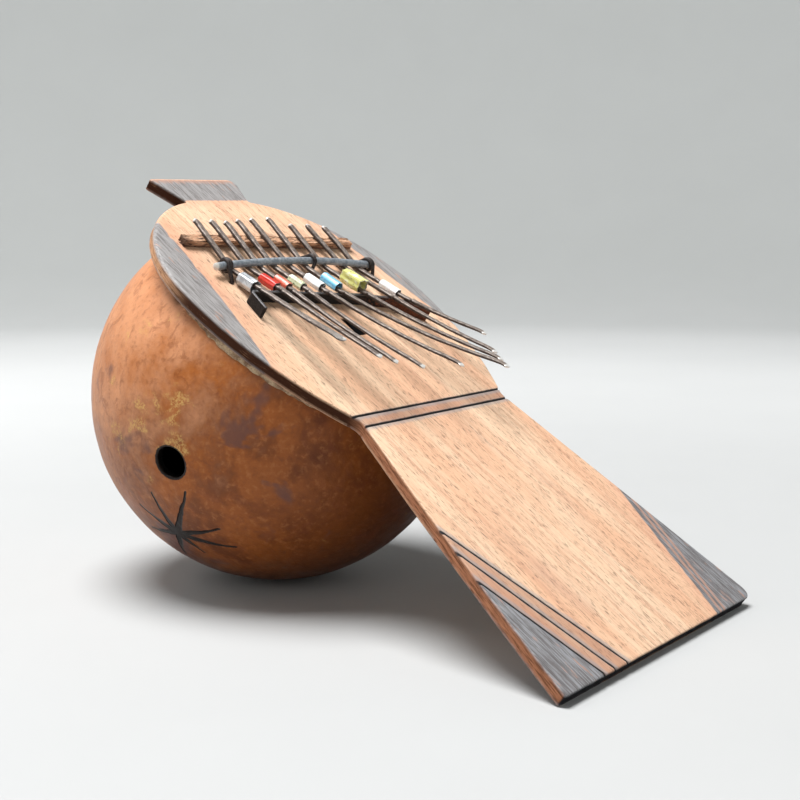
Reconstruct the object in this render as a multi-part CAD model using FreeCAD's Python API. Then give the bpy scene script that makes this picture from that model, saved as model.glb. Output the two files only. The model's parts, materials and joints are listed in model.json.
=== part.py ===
"""Mbira: a flat wooden soundboard on a gourd resonator, with nine iron tines.

Units are millimetres. Everything is drawn in the board's own frame first: x runs across the board (to the
right), y along it from the handle end, and z up from its underside. settle() then tilts that frame to the
resting attitude, in which the handle's end edge and the gourd's lowest point stand on the plane z = 0, and
moves the origin to the middle of the footprint.
"""
import FreeCAD
import Part
import math
import os

from FreeCAD import Vector

# ---- driving dimensions: soundboard ----
BOARD_LENGTH = 330.0        # handle end to tab end
BOARD_THICK = 6.0
BOARD_TILT = 35.2           # degrees between the board and the surface it stands on
HANDLE_LEFT = 97.2          # half widths of the handle end, which is cut a little askew
HANDLE_RIGHT = 78.4
HANDLE_LEFT_BOW = (75.0, 78.4)   # (y, half width) on the handle's left edge, which bows out a little
WAIST_Y = 150.0
WAIST_HALF = 56.8
BELLY_Y = 232.0             # the widest place of the rounded body
BELLY_HALF = 84.0
LOWER_ARC = (187.0, 75.6)   # (y, half width) of a point between waist and belly
UPPER_ARC_LEFT = (281.0, 70.3)   # the same between belly and tab, on each side
UPPER_ARC_RIGHT = (281.0, 67.6)
TAB_ROOT_Y = 310.5
TAB_ROOT_HALF = 22.3
TAB_END_LEFT = 32.6
TAB_END_RIGHT = 30.0
CORNER_ROUNDS = ((HANDLE_RIGHT, 0.0, 5.0), (TAB_END_RIGHT, BOARD_LENGTH, 4.0))   # (x, y, radius)
GROOVE_WIDE = 1.8
GROOVE_DEEP = 0.9
CROSS_GROOVES = (153.5, 146.8)                    # y of the two grooves at the waist
CORNER_GROOVES = ((84.6, 46.5), (73.8, 57.0), (58.5, 65.5))   # (y on the left edge, -x at the handle end)
SLOT_CENTRE = (1.8, 209.3)
SLOT_SIZE = (6.8, 12.4)     # across, along

# ---- gourd ----
GOURD_R = 90.5
GOURD_X = -3.4
GOURD_Y = 223.6             # along the board
GOURD_WALL = 4.5
SOUND_HOLE_R = 7.5
SOUND_HOLE_AZ = -173.4      # direction of the hole from the gourd's centre, degrees, at rest
SOUND_HOLE_EL = -13.1
BEAD_R = 79.8               # outer radius of the glue bead on the board's underside
BEAD_DEEP = 3.4

# ---- bridges and pressure bar ----
REAR_BRIDGE_LEFT = (-57.0, 274.6)    # (x, y) of the strip's front bottom edge, at each end
REAR_BRIDGE_RIGHT = (62.0, 267.3)
REAR_BRIDGE_WIDE = 5.5
REAR_BRIDGE_HIGH = 4.0
FRONT_BRIDGE_HIGH = 6.2
FRONT_BRIDGE_THICK = 1.6
FRONT_BRIDGE_ROUTE = ((-54.2, 221.2), (-52.2, 233.6), (-10.0, 228.6), (22.0, 224.6),
                      (46.0, 219.0), (59.0, 207.4))
FRONT_BRIDGE_BENDS = (2.0, 60.0, 60.0, 6.0)
BAR_R = 1.6
BAR_ENDS = ((-57.0, 254.2, 4.2), (58.0, 249.8, 3.4))   # (x, y, height of the axis over the top face)
BAR_MIDDLE = (-5.0, 254.8, 4.9)

# ---- tie wires: (name, rear hole, front hole), holes as (x, y) ----
TIE_R = 1.0
TIE_HOLE_R = 1.3
TIE_CLEARANCE = 0.09        # between a tie and the bar
TIES = (("tie_wire_left", (-48.6, 258.0), (-49.4, 247.4)),
        ("tie_wire_middle", (12.8, 261.2), (10.2, 249.9)),
        ("tie_wire_right", (54.4, 255.4), (55.8, 245.0)))
TIE_FOOT = 0.4              # how far each bent foot reaches towards the other, as a share of their distance

# ---- tines, left to right: rear end (x, y, height), bridge x, tip (x, y, height), sag of the free part ----
TINE_WIDE = 2.6
TINE_THICK = 1.2
TINES = (((-41.4, 287.2, 6.2), -47.2, (-52.4, 180.8, 20.0), 0.4),
         ((-31.1, 286.4, 6.1), -34.0, (-38.2, 168.0, 19.0), 0.6),
         ((-21.6, 285.4, 6.0), -27.1, (-33.5, 162.3, 20.0), 0.8),
         ((-12.6, 286.2, 6.3), -16.7, (-21.3, 155.8, 21.0), 1.2),
         ((-2.5, 286.6, 6.6), -4.7, (5.6, 152.0, 22.0), 1.6),
         ((11.0, 287.3, 6.4), 5.3, (33.7, 145.0, 24.0), 2.4),
         ((22.4, 281.6, 6.4), 21.6, (39.0, 151.6, 22.0), 1.6),
         ((34.8, 280.9, 6.3), 39.2, (47.5, 160.0, 19.0), 1.0),
         ((47.5, 279.7, 5.9), 48.4, (59.7, 175.6, 17.0), 0.6))
SPATULA_WIDE = 5.0          # the first tine is hammered out broad at its tip
SPLIT_GAP = 0.08            # clearance between a tine's clamped part and its free part
CONTACT = 0.02              # clearance where a tine lies on a bridge
BAR_CONTACT = 0.09          # and where it bends under the round bar
BEARING = 0.1               # a tine's bend lies this far before the bridge's edge, and the hinge beyond it
TIP_FLAT = 4.0              # length of the turned-up tip
TIP_LIFT = 0.9

# ---- buzzer sleeves: tine number, outer radius, length, gap behind the front bridge, and how the
# sleeve sits, from -1, hanging from the tine, to 1, standing up from it ----
SLEEVE_WALL = 0.4
SLEEVE_PLAY = 0.15          # least clearance round the tine
SLEEVES = ((1, 2.6, 10.3, 2.2, -1.0),
           (2, 2.5, 10.4, 2.2, -0.7),
           (3, 2.4, 9.2, 1.5, 0.0),
           (4, 2.4, 9.2, 2.5, -0.2),
           (5, 2.6, 10.6, 2.1, 0.1),
           (6, 2.6, 11.0, 1.1, 1.0),
           (7, 3.4, 12.4, 1.1, 1.0),
           (9, 2.6, 11.4, 3.5, -0.3))

# ---- derived places ----
TILT = math.radians(BOARD_TILT)
GOURD_Z = -(GOURD_Y * math.sin(TILT) - GOURD_R) / math.cos(TILT)   # the gourd's lowest point stands on z = 0
GOURD_REST_Y = GOURD_Y * math.cos(TILT) - GOURD_Z * math.sin(TILT)
FOOTPRINT_X = (-HANDLE_LEFT, GOURD_X + GOURD_R)
FOOTPRINT_Y = (-BOARD_THICK * math.sin(TILT), GOURD_REST_Y + GOURD_R)


def settle(shape):
    """Turn a shape from the board's frame to the resting attitude, about the row's origin."""
    shape.rotate(Vector(0, 0, 0), Vector(1, 0, 0), BOARD_TILT)
    shape.translate(Vector(-sum(FOOTPRINT_X) / 2, -sum(FOOTPRINT_Y) / 2, 0))
    return shape


def on_top(x, y, height=0.0):
    """A point at a height over the board's top face."""
    return Vector(x, y, BOARD_THICK + height)


def between(a, b, t):
    return a + (b - a) * t


def prism(points, z_low, z_high):
    """A straight-sided solid on a closed outline of (x, y) points."""
    corners = [Vector(x, y, z_low) for x, y in points]
    face = Part.Face(Part.makePolygon(corners + corners[:1]))
    return face.extrude(Vector(0, 0, z_high - z_low))


def rounded_route(points, radii):
    """A wire of straight runs joined by tangent arcs, one radius for each inner point."""
    edges = []
    start = points[0]
    for before, corner, after, radius in zip(points, points[1:], points[2:], radii):
        back = (before - corner).normalize()
        ahead = (after - corner).normalize()
        half_turn = (math.pi - back.getAngle(ahead)) / 2
        reach = radius * math.tan(half_turn)
        arc_start = corner + back * reach
        arc_end = corner + ahead * reach
        bisector = (back + ahead).normalize()
        centre = corner + bisector * (radius / math.cos(half_turn))
        edges.append(Part.LineSegment(start, arc_start).toShape())
        edges.append(Part.Arc(arc_start, centre - bisector * radius, arc_end).toShape())
        start = arc_end
    edges.append(Part.LineSegment(start, points[-1]).toShape())
    return Part.Wire(edges)


def sweep(route, section):
    return route.makePipeShell([section], True, False)


def round_wire(route, radius):
    """A round wire or rod swept along a route."""
    first = route.Edges[0]
    begin = first.FirstParameter
    section = Part.Wire(Part.makeCircle(radius, first.valueAt(begin), first.tangentAt(begin)))
    return sweep(route, section)


def ribbon(stations):
    """A flat strip through stations of (centre, direction of its width, width, thickness)."""
    sections = []
    for centre, across, width, thick in stations:
        side = across * (width / 2)
        rise = Vector(0, 0, thick / 2)
        corners = [centre - side - rise, centre + side - rise, centre + side + rise, centre - side + rise]
        sections.append(Part.makePolygon(corners + corners[:1]))
    return Part.makeLoft(sections, True, True)


# ---- soundboard ----
def board_outline():
    """The board's outline: handle, waist, two arcs a side for the rounded body, and the flared tab."""
    def body(side, upper_arc):
        points = [Vector(side * x, y, 0) for y, x in (
            (WAIST_Y, WAIST_HALF), LOWER_ARC, (BELLY_Y, BELLY_HALF), upper_arc, (TAB_ROOT_Y, TAB_ROOT_HALF))]
        return points[0], [Part.Arc(*points[:3]), Part.Arc(*points[2:])], points[-1]

    right_waist, right_arcs, right_root = body(1, UPPER_ARC_RIGHT)
    left_waist, left_arcs, left_root = body(-1, UPPER_ARC_LEFT)
    end_left, end_right = Vector(-HANDLE_LEFT, 0, 0), Vector(HANDLE_RIGHT, 0, 0)
    tab_left, tab_right = Vector(-TAB_END_LEFT, BOARD_LENGTH, 0), Vector(TAB_END_RIGHT, BOARD_LENGTH, 0)
    bow = Vector(-HANDLE_LEFT_BOW[1], HANDLE_LEFT_BOW[0], 0)
    curves = [Part.LineSegment(end_left, end_right), Part.LineSegment(end_right, right_waist), *right_arcs,
              Part.LineSegment(right_root, tab_right), Part.LineSegment(tab_right, tab_left),
              Part.LineSegment(tab_left, left_root), *left_arcs, Part.Arc(end_left, bow, left_waist)]
    return Part.Wire(Part.__sortEdges__([curve.toShape() for curve in curves]))


def round_corner(board, x, y, radius):
    """Round the board's upright edge at one corner of its outline."""
    for edge in board.Edges:
        low, high = edge.BoundBox.ZMin, edge.BoundBox.ZMax
        middle = edge.CenterOfMass
        if high - low > BOARD_THICK * 0.9 and math.hypot(middle.x - x, middle.y - y) < 0.1:
            return board.makeFillet(radius, [edge])
    raise ValueError("no upright edge at that corner")


def handle_edge_x(y):
    """About where the left edge of the handle lies, across the board, at a distance y from its end."""
    return -(HANDLE_LEFT + (WAIST_HALF - HANDLE_LEFT) * y / WAIST_Y)


def groove(start, end):
    """The cutter of a V groove in the top face, from one (x, y) point to another, running out past both."""
    a, b = on_top(*start), on_top(*end)
    along = (b - a).normalize()
    side = along.cross(Vector(0, 0, 1)) * GROOVE_WIDE
    overrun = 8.0
    a, b = a - along * overrun, b + along * overrun
    top, bottom = Vector(0, 0, GROOVE_DEEP), Vector(0, 0, -GROOVE_DEEP)
    triangle = Part.makePolygon([a + bottom, a + top + side, a + top - side, a + bottom])
    return Part.Face(triangle).extrude(b - a)


def make_soundboard():
    board = Part.Face(board_outline()).extrude(Vector(0, 0, BOARD_THICK))
    for corner in CORNER_ROUNDS:
        board = round_corner(board, *corner)
    for y in CROSS_GROOVES:
        board = board.cut(groove((-BELLY_HALF, y), (BELLY_HALF, y)))
    for edge_y, end_x in CORNER_GROOVES:
        board = board.cut(groove((handle_edge_x(edge_y), edge_y), (-end_x, 0.0)))
    (x, y), (wide, long) = SLOT_CENTRE, SLOT_SIZE
    corners = [(x - wide / 2, y - long / 2), (x + wide / 2, y - long / 2),
               (x + wide / 2, y + long / 2), (x - wide / 2, y + long / 2)]
    board = board.cut(prism(corners, -1.0, BOARD_THICK + 1.0))
    for _, rear, front in TIES:
        for hole in (rear, front):
            board = board.cut(Part.makeCylinder(TIE_HOLE_R, BOARD_THICK + 2.0, Vector(*hole, -1.0)))
    return board


# ---- gourd ----
def gourd_centre():
    return Vector(GOURD_X, GOURD_Y, GOURD_Z)


def make_gourd():
    """A round shell, cut flat by the board's underside, with the sound hole through its wall."""
    centre = gourd_centre()
    shell = Part.makeSphere(GOURD_R, centre).cut(Part.makeSphere(GOURD_R - GOURD_WALL, centre))
    size = 4 * GOURD_R
    above = Part.makeBox(size, size, size, Vector(centre.x - size / 2, centre.y - size / 2, 0))
    azimuth, elevation = math.radians(SOUND_HOLE_AZ), math.radians(SOUND_HOLE_EL)
    outward = Vector(math.cos(azimuth) * math.cos(elevation), math.sin(azimuth) * math.cos(elevation),
                     math.sin(elevation))
    in_board = FreeCAD.Rotation(Vector(1, 0, 0), -BOARD_TILT).multVec(outward)
    hole = Part.makeCylinder(SOUND_HOLE_R, GOURD_R * 1.2, centre, in_board)
    return shell.cut(above).cut(hole)


def make_glue_bead():
    """A bead of glue in the corner between the gourd's wall and the board's underside."""
    centre = gourd_centre()
    rim = math.sqrt(GOURD_R ** 2 - centre.z ** 2)
    inner = rim - 1.0
    low = math.sqrt(GOURD_R ** 2 - (centre.z + BEAD_DEEP) ** 2)
    corners = [centre + Vector(r, 0, z - centre.z) for r, z in
               ((inner, 0.0), (BEAD_R, 0.0), (BEAD_R - 0.4, -1.2), (low, -BEAD_DEEP), (inner, -BEAD_DEEP))]
    ring = Part.Face(Part.makePolygon(corners + corners[:1])).revolve(centre, Vector(0, 0, 1), 360)
    return ring.cut(Part.makeSphere(GOURD_R, centre))


# ---- bridges, bar and ties ----
def make_rear_bridge():
    left, right = Vector(*REAR_BRIDGE_LEFT, 0), Vector(*REAR_BRIDGE_RIGHT, 0)
    back = Vector(0, 0, 1).cross((right - left).normalize()) * REAR_BRIDGE_WIDE
    corners = [(p.x, p.y) for p in (left, right, right + back, left + back)]
    return prism(corners, BOARD_THICK, BOARD_THICK + REAR_BRIDGE_HIGH)


def rear_bridge_y(x):
    """The front edge of the rear bridge, along the board, at a place across it."""
    (x0, y0), (x1, y1) = REAR_BRIDGE_LEFT, REAR_BRIDGE_RIGHT
    return y0 + (y1 - y0) * (x - x0) / (x1 - x0)


def make_front_bridge():
    points = [on_top(x, y) for x, y in FRONT_BRIDGE_ROUTE]
    route = rounded_route(points, FRONT_BRIDGE_BENDS)
    along = (points[1] - points[0]).normalize()
    side = along.cross(Vector(0, 0, 1)) * (FRONT_BRIDGE_THICK / 2)
    up = Vector(0, 0, FRONT_BRIDGE_HIGH)
    start = points[0]
    corners = [start - side, start + side, start + side + up, start - side + up]
    return sweep(route, Part.makePolygon(corners + corners[:1]))


def front_bridge_at(x):
    """The middle line of the front bridge at a place across the board: y, and its slope there."""
    route = FRONT_BRIDGE_ROUTE[1:]
    for (x0, y0), (x1, y1) in zip(route, route[1:]):
        if x <= x1:
            slope = (y1 - y0) / (x1 - x0)
            return y0 + slope * (x - x0), slope
    raise ValueError("x is past the bridge's end")


def bar_arc():
    return Part.Arc(on_top(*BAR_ENDS[0]), on_top(*BAR_MIDDLE), on_top(*BAR_ENDS[1]))


def bar_at(x):
    """The pressure bar's axis at a place across the board."""
    curve = bar_arc().toShape().Curve
    low, high = (curve.parameter(on_top(*end)) for end in BAR_ENDS)
    for _ in range(40):
        middle = (low + high) / 2
        if curve.value(middle).x < x:
            low = middle
        else:
            high = middle
    return curve.value((low + high) / 2)


def make_pressure_bar():
    return round_wire(Part.Wire(bar_arc().toShape()), BAR_R)


def make_tie(rear, front):
    """A wire up through one hole, tight over the bar and down through the other, its feet bent together."""
    rear, front = Vector(*rear, 0), Vector(*front, 0)
    bar = bar_at((rear.x + front.x) / 2)
    towards_front = (front - rear).normalize()
    reach = (bar - rear).dot(towards_front)
    axis = rear + towards_front * reach + Vector(0, 0, bar.z)
    hug = BAR_R + TIE_R + TIE_CLEARANCE
    bend_z = BOARD_THICK + 0.6

    def leg(foot, direction):
        """Where the leg leaves the board, and the angle its line makes over the bar."""
        base = Vector(foot.x, foot.y, bend_z)
        out = (base - axis).dot(direction)
        drop = axis.z - base.z
        lean = math.atan2(out, drop)
        return base, math.asin(hug / math.hypot(out, drop)) - lean

    rear_base, rear_lean = leg(rear, towards_front * -1)
    front_base, front_lean = leg(front, towards_front)
    # Each leg leans in by its angle; the two lines meet at an apex over the bar.
    gap = (front_base - rear_base).dot(towards_front)
    rise = gap / (math.tan(-rear_lean) + math.tan(-front_lean))
    apex = rear_base + towards_front * (rise * math.tan(-rear_lean)) + Vector(0, 0, rise)
    foot_z = -TIE_R - 0.3
    inward = towards_front * ((front - rear).Length * TIE_FOOT)
    below = Vector(0, 0, foot_z)
    points = [rear + inward + below, rear + below, rear_base, apex,
              front_base, front + below, front - inward + below]
    return round_wire(rounded_route(points, (1.3, 1.2, hug, 1.2, 1.3)), TIE_R)


# ---- tines ----
class Tine:
    """One tine: where it lies from its rear end, under the bar, over the front bridge and out to its tip."""

    def __init__(self, rear, bridge_x, tip, sag):
        self.rear = on_top(*rear)
        self.tip = on_top(*tip)
        self.sag = sag
        self.wide = TINE_WIDE
        self.tip_wide = TINE_WIDE
        half = TINE_THICK / 2 + CONTACT
        # The tine climbs towards its tip, so it rests on the rear top edge of the bridge, which may lie askew.
        middle_y, slope = front_bridge_at(bridge_x)
        reach = FRONT_BRIDGE_THICK / 2 * math.hypot(1, slope) + TINE_WIDE / 2 * abs(slope) + BEARING
        self.bridge = on_top(bridge_x, middle_y + reach, FRONT_BRIDGE_HIGH + half)
        plan = Vector(self.rear.x - self.bridge.x, self.rear.y - self.bridge.y, 0)
        self.clamped_across = plan.cross(Vector(0, 0, 1)).normalize()
        self.under_bar = self.at_y(bar_at(self.bridge.x).y)
        self.under_bar.z = bar_at(self.under_bar.x).z - BAR_R - BAR_CONTACT - TINE_THICK / 2
        self.over_rear = self.at_y(rear_bridge_y(self.under_bar.x) - 4 * BEARING)
        self.over_rear.z = BOARD_THICK + REAR_BRIDGE_HIGH + half
        self.ahead = Vector(self.tip.x - self.bridge.x, self.tip.y - self.bridge.y, 0).normalize()
        self.free_across = Vector(0, 0, 1).cross(self.ahead)
        self.hinge = between(self.bridge, self.tip, (2 * reach + BEARING) / (self.tip - self.bridge).Length)

    def at_y(self, y):
        t = (y - self.bridge.y) / (self.rear.y - self.bridge.y)
        return between(self.bridge, self.rear, t)

    def clamped(self):
        end = self.hinge - self.ahead * (SPLIT_GAP / 2)
        stations = [(centre, self.clamped_across, self.wide, TINE_THICK)
                    for centre in (self.rear, self.over_rear, self.under_bar, self.bridge)]
        return ribbon(stations + [(end, self.free_across, self.wide, TINE_THICK)])

    def free(self):
        start = self.hinge + self.ahead * (SPLIT_GAP / 2)
        flat_start = between(start, self.tip, 1 - TIP_FLAT / (self.tip - start).Length)
        stations = []
        for t in (0.0, 0.2, 0.4, 0.6, 0.8, 1.0):
            centre = between(start, flat_start, t) - Vector(0, 0, 4 * self.sag * t * (1 - t))
            wide = self.wide + (self.tip_wide - self.wide) * t
            stations.append((centre, self.free_across, wide, TINE_THICK - 0.3 * t))
        turned_up = self.tip + Vector(0, 0, TIP_LIFT - TINE_THICK)
        return ribbon(stations + [(turned_up, self.free_across, self.tip_wide, TINE_THICK - 0.5)])

    def sleeve(self, radius, length, gap, sits):
        """A round sleeve on the straight stretch between bar and bridge, loose round the tine."""
        run = (self.under_bar - self.bridge).normalize()
        lift = run.cross(self.clamped_across)
        if lift.z < 0:
            lift = lift * -1
        inner = radius - SLEEVE_WALL
        seat = math.sqrt((inner - SLEEVE_PLAY) ** 2 - (self.wide / 2) ** 2) - TINE_THICK / 2
        start = self.bridge + run * gap + lift * (seat * sits)
        outer = Part.makeCylinder(radius, length, start, run)
        return outer.cut(Part.makeCylinder(inner, length, start, run))


def make_tines():
    tines = [Tine(*values) for values in TINES]
    tines[0].tip_wide = SPATULA_WIDE
    return tines


def build():
    parts = {
        "soundboard": make_soundboard(),
        "gourd_resonator": make_gourd(),
        "glue_bead": make_glue_bead(),
        "rear_bridge": make_rear_bridge(),
        "front_bridge": make_front_bridge(),
        "pressure_bar": make_pressure_bar(),
    }
    for name, rear, front in TIES:
        parts[name] = make_tie(rear, front)
    tines = make_tines()
    for number, tine in enumerate(tines, 1):
        parts["tine_%d_clamped" % number] = tine.clamped()
        parts["tine_%d_free" % number] = tine.free()
    for number, *shape in SLEEVES:
        parts["buzzer_sleeve_%d" % number] = tines[number - 1].sleeve(*shape)
    return parts


os.makedirs("parts", exist_ok=True)
for name, shape in build().items():
    settle(shape)
    if not shape.isValid() or len(shape.Solids) != 1:
        print("check", name, "valid", shape.isValid(), "solids", len(shape.Solids))
    shape.exportStep("parts/%s.step" % name)
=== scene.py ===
"""The looks of a gourd mbira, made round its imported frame.

Shapes are worked out in millimetres in the board's own frame: x across, y along from the handle end, z up
from the underside. They are then turned to the resting attitude, in metres. Materials see the same board
frame, or for the gourd a frame of millimetres about its centre.
"""
import bmesh
import bpy
import functools
import json
import math
import numpy as np
from mathutils import Matrix, Vector, geometry, noise


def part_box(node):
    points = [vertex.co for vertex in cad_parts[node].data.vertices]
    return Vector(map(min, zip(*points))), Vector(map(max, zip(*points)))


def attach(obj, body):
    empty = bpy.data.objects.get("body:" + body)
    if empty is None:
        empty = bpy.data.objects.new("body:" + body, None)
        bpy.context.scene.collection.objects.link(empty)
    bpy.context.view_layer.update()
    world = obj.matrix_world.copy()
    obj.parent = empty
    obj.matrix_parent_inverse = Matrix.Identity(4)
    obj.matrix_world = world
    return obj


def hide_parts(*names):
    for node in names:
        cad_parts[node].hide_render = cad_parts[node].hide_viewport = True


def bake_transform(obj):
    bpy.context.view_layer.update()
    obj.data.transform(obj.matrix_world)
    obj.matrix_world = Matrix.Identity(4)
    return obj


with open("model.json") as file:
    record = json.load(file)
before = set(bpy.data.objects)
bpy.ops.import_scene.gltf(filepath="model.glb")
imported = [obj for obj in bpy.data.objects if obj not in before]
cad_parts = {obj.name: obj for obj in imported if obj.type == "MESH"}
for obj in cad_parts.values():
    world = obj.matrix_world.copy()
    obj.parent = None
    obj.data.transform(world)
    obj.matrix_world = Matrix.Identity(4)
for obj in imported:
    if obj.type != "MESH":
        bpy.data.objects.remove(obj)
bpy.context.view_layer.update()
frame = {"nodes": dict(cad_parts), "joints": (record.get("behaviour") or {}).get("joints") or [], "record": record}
NODES = frame["nodes"]
MOUNTS = {mount["name"]: mount for mount in frame["record"]["mounts"]}
JOINTS = {joint["name"]: joint for joint in frame["joints"]}

# ---- marks on the board, in millimetres ----
CROSS_GROOVES = (153.5, 146.8)                          # y of the two grooves at the waist
CORNER_GROOVES = (((-75.3, 84.6), (-46.5, 0.0)),        # grooves across the handle's left corner
                  ((-78.8, 73.8), (-57.0, 0.0)),
                  ((-82.9, 58.5), (-65.5, 0.0)))
GROOVE_HALF = 0.75
GROOVE_DEEP = 0.8
LEFT_BURN_EDGE = ((-56.0, 296.0), (-62.0, 255.0), (-77.0, 190.0))     # three points on a band's inner edge
RIGHT_BURN_EDGE = ((61.0, 290.0), (67.5, 258.0), (80.0, 200.0))
RIGHT_CORNER_EDGE = ((66.9, 78.9), (39.0, 0.0))         # inner edge of the burnt triangle at the handle end
CORNER_STRIPES = (4.2, 8.0)     # how far in from that edge its two bare lines lie
BURN_Y = (180.0, 299.0)         # the burnt bands lie between these
BELLY_Y = 240.0                 # the middle of the board's round part
TAB_BURN_Y = 311.5              # the tab is burnt beyond this
TAB_WORN_Y = (322.0, 330.0)     # and worn bare again between these

# ---- marks on the gourd ----
STAR_DIRECTION = (178.3, -38.8)     # azimuth and elevation from the gourd's centre, degrees
STAR_RAYS = ((16.8, 24.8), (-4.3, 23.0), (-18.0, 13.3), (-20.8, -2.9),
             (-11.3, -21.1), (7.1, -14.0), (26.7, -10.2), (24.9, 3.1))   # (east, north) of each ray's tip, mm


# ---- the board's frame ----
def node_points(node):
    return np.array([vertex.co for vertex in NODES[node].data.vertices], float)


def board_tilt():
    """The board's slope, from its largest flat face: the underside."""
    underside = max(NODES["soundboard"].data.polygons, key=lambda face: face.area * -face.normal.z)
    return math.atan2(underside.normal.y, -underside.normal.z)


TILT = board_tilt()
TURN = np.array(Matrix.Rotation(TILT, 3, "X"))


def board_origin():
    """The board frame's origin, in metres, along the board frame's axes."""
    flat = node_points("soundboard") @ TURN
    low = flat.min(0)
    belly = flat[np.abs(flat[:, 1] - low[1] - 0.232) < 0.02]
    return np.array([(belly[:, 0].min() + belly[:, 0].max()) / 2, low[1], low[2]])


ORIGIN = board_origin()


def to_world(points):
    return (np.asarray(points, float) * 0.001 + ORIGIN) @ TURN.T


def to_board(points):
    return (np.asarray(points, float) @ TURN - ORIGIN) * 1000.0


def direction_to_board(vector):
    return np.asarray(vector, float) @ TURN


def direction_at(azimuth, elevation):
    azimuth, elevation = math.radians(azimuth), math.radians(elevation)
    return np.array([math.cos(azimuth) * math.cos(elevation), math.sin(azimuth) * math.cos(elevation),
                     math.sin(elevation)])


BOARD = {node: to_board(node_points(node)) for node in NODES}
THICK = BOARD["soundboard"][:, 2].max()


def slice_node(node, axis, value):
    """Where a node's edges cross the plane on which one board coordinate has a value."""
    points = BOARD[node]
    edges = np.array([edge.vertices[:] for edge in NODES[node].data.edges])
    a, b = points[edges[:, 0]], points[edges[:, 1]]
    da, db = a[:, axis] - value, b[:, axis] - value
    crossing = da * db < 0
    share = (da[crossing] / (da[crossing] - db[crossing]))[:, None]
    return a[crossing] + (b[crossing] - a[crossing]) * share


def centre_line(node, axis, values):
    """The middle of a long node at each value of the board coordinate that it runs along."""
    cuts = [slice_node(node, axis, value) for value in values]
    return np.array([(cut.min(0) + cut.max(0)) / 2 for cut in cuts])


def unit(vector):
    return vector / np.linalg.norm(vector)


# ---- noise ----
def wave(value, seed=0.0):
    """Smooth noise from -1 to 1 along one value."""
    return noise.noise(Vector((value, seed * 7.31 + 0.37, seed * 3.17)))


def lumps(point, size, seed=0.0):
    """Smooth noise from -1 to 1 in space, with lumps of about one size."""
    return noise.noise(Vector(point) / size + Vector((seed, -seed, seed * 0.5)))


# ---- meshes ----
def make_piece(name, points, faces, material, body="root", replaces=(), sharp=40.0, ride=True):
    """A piece from points in board millimetres, smooth except at edges sharper than an angle."""
    mesh = bpy.data.meshes.new(name)
    mesh.from_pydata(to_world(points).tolist(), [], [tuple(face) for face in faces])
    build = bmesh.new()
    build.from_mesh(mesh)
    bmesh.ops.recalc_face_normals(build, faces=build.faces)
    build.to_mesh(mesh)
    build.free()
    mesh.shade_smooth()
    mesh.set_sharp_from_angle(angle=math.radians(sharp))
    piece = bpy.data.objects.new(name, mesh)
    bpy.context.scene.collection.objects.link(piece)
    mesh.materials.append(material)
    if replaces:
        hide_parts(*replaces)
    if ride:
        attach(piece, body)
    return piece


def point_values(piece, name, values):
    """Stores one number per vertex, for the material to read."""
    attribute = piece.data.attributes.new(name, "FLOAT", "POINT")
    attribute.data.foreach_set("value", np.asarray(values, np.float32))


def skin_faces(rings, around):
    """Faces over closed rings of vertices that follow each other, with a face over each end."""
    faces = []
    for ring in range(rings - 1):
        for step in range(around):
            a, b = ring * around + step, ring * around + (step + 1) % around
            faces.append((a, b, b + around, a + around))
    faces.append(tuple(range(around)))
    faces.append(tuple(range((rings - 1) * around, rings * around)))
    return faces


def directions_along(path):
    ahead = np.gradient(path, axis=0)
    return ahead / np.linalg.norm(ahead, axis=1)[:, None]


def smooth_curve(points, count):
    """Points evenly spaced on a Catmull-Rom curve through a few points."""
    points = np.asarray(points, float)
    padded = np.vstack([2 * points[0] - points[1], points, 2 * points[-1] - points[-2]])
    fine = []
    for a, b, c, d in zip(padded, padded[1:], padded[2:], padded[3:]):
        for t in np.linspace(0, 1, 16, endpoint=False):
            fine.append(0.5 * (2 * b + (c - a) * t + (2 * a - 5 * b + 4 * c - d) * t ** 2
                               + (3 * b - a - 3 * c + d) * t ** 3))
    fine.append(points[-1])
    return even_steps(np.array(fine), count)


def even_steps(line, count):
    """A line's points, spaced evenly along it."""
    lengths = np.concatenate([[0], np.cumsum(np.linalg.norm(np.diff(line, axis=0), axis=1))])
    places = np.linspace(0, lengths[-1], count)
    return np.stack([np.interp(places, lengths, line[:, k]) for k in range(line.shape[1])], axis=1)


def round_rod(path, radius, around, rough, seed, blunt=0.35):
    """Points and faces of a rod or wire along a path, its surface uneven by a share of its radius."""
    ahead = directions_along(path)
    side = unit(np.cross(ahead[0], [0.31, 0.17, 0.93]))
    stations = [0] + list(range(len(path))) + [len(path) - 1]
    points = []
    for place, index in enumerate(stations):
        side = unit(side - ahead[index] * side.dot(ahead[index]))
        lift = np.cross(ahead[index], side)
        at_end = place in (0, len(stations) - 1)
        for step in range(around):
            turn = 2 * math.pi * step / around
            out = math.cos(turn) * side + math.sin(turn) * lift
            bump = 1 + rough * lumps(path[index] * 0.45 + out * 1.2, 1.0, seed)
            shrink = 1 - blunt if at_end else 1.0
            points.append(path[index] + out * radius * bump * shrink)
    # The ring before each cap is drawn back a little.
    for index, place in ((0, 1), (-1, len(stations) - 2)):
        ring = slice(place * around, (place + 1) * around)
        inward = ahead[0] if index == 0 else -ahead[-1]
        points[ring] = [point + inward * radius * blunt * 0.6 for point in points[ring]]
    return np.array(points), skin_faces(len(stations), around)


# ---- materials ----
def rgb(red, green, blue):
    """A linear colour from 0-255 sRGB values."""
    channels = [value / 255 for value in (red, green, blue)]
    linear = [c / 12.92 if c <= 0.04045 else ((c + 0.055) / 1.055) ** 2.4 for c in channels]
    return (*linear, 1.0)


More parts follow.
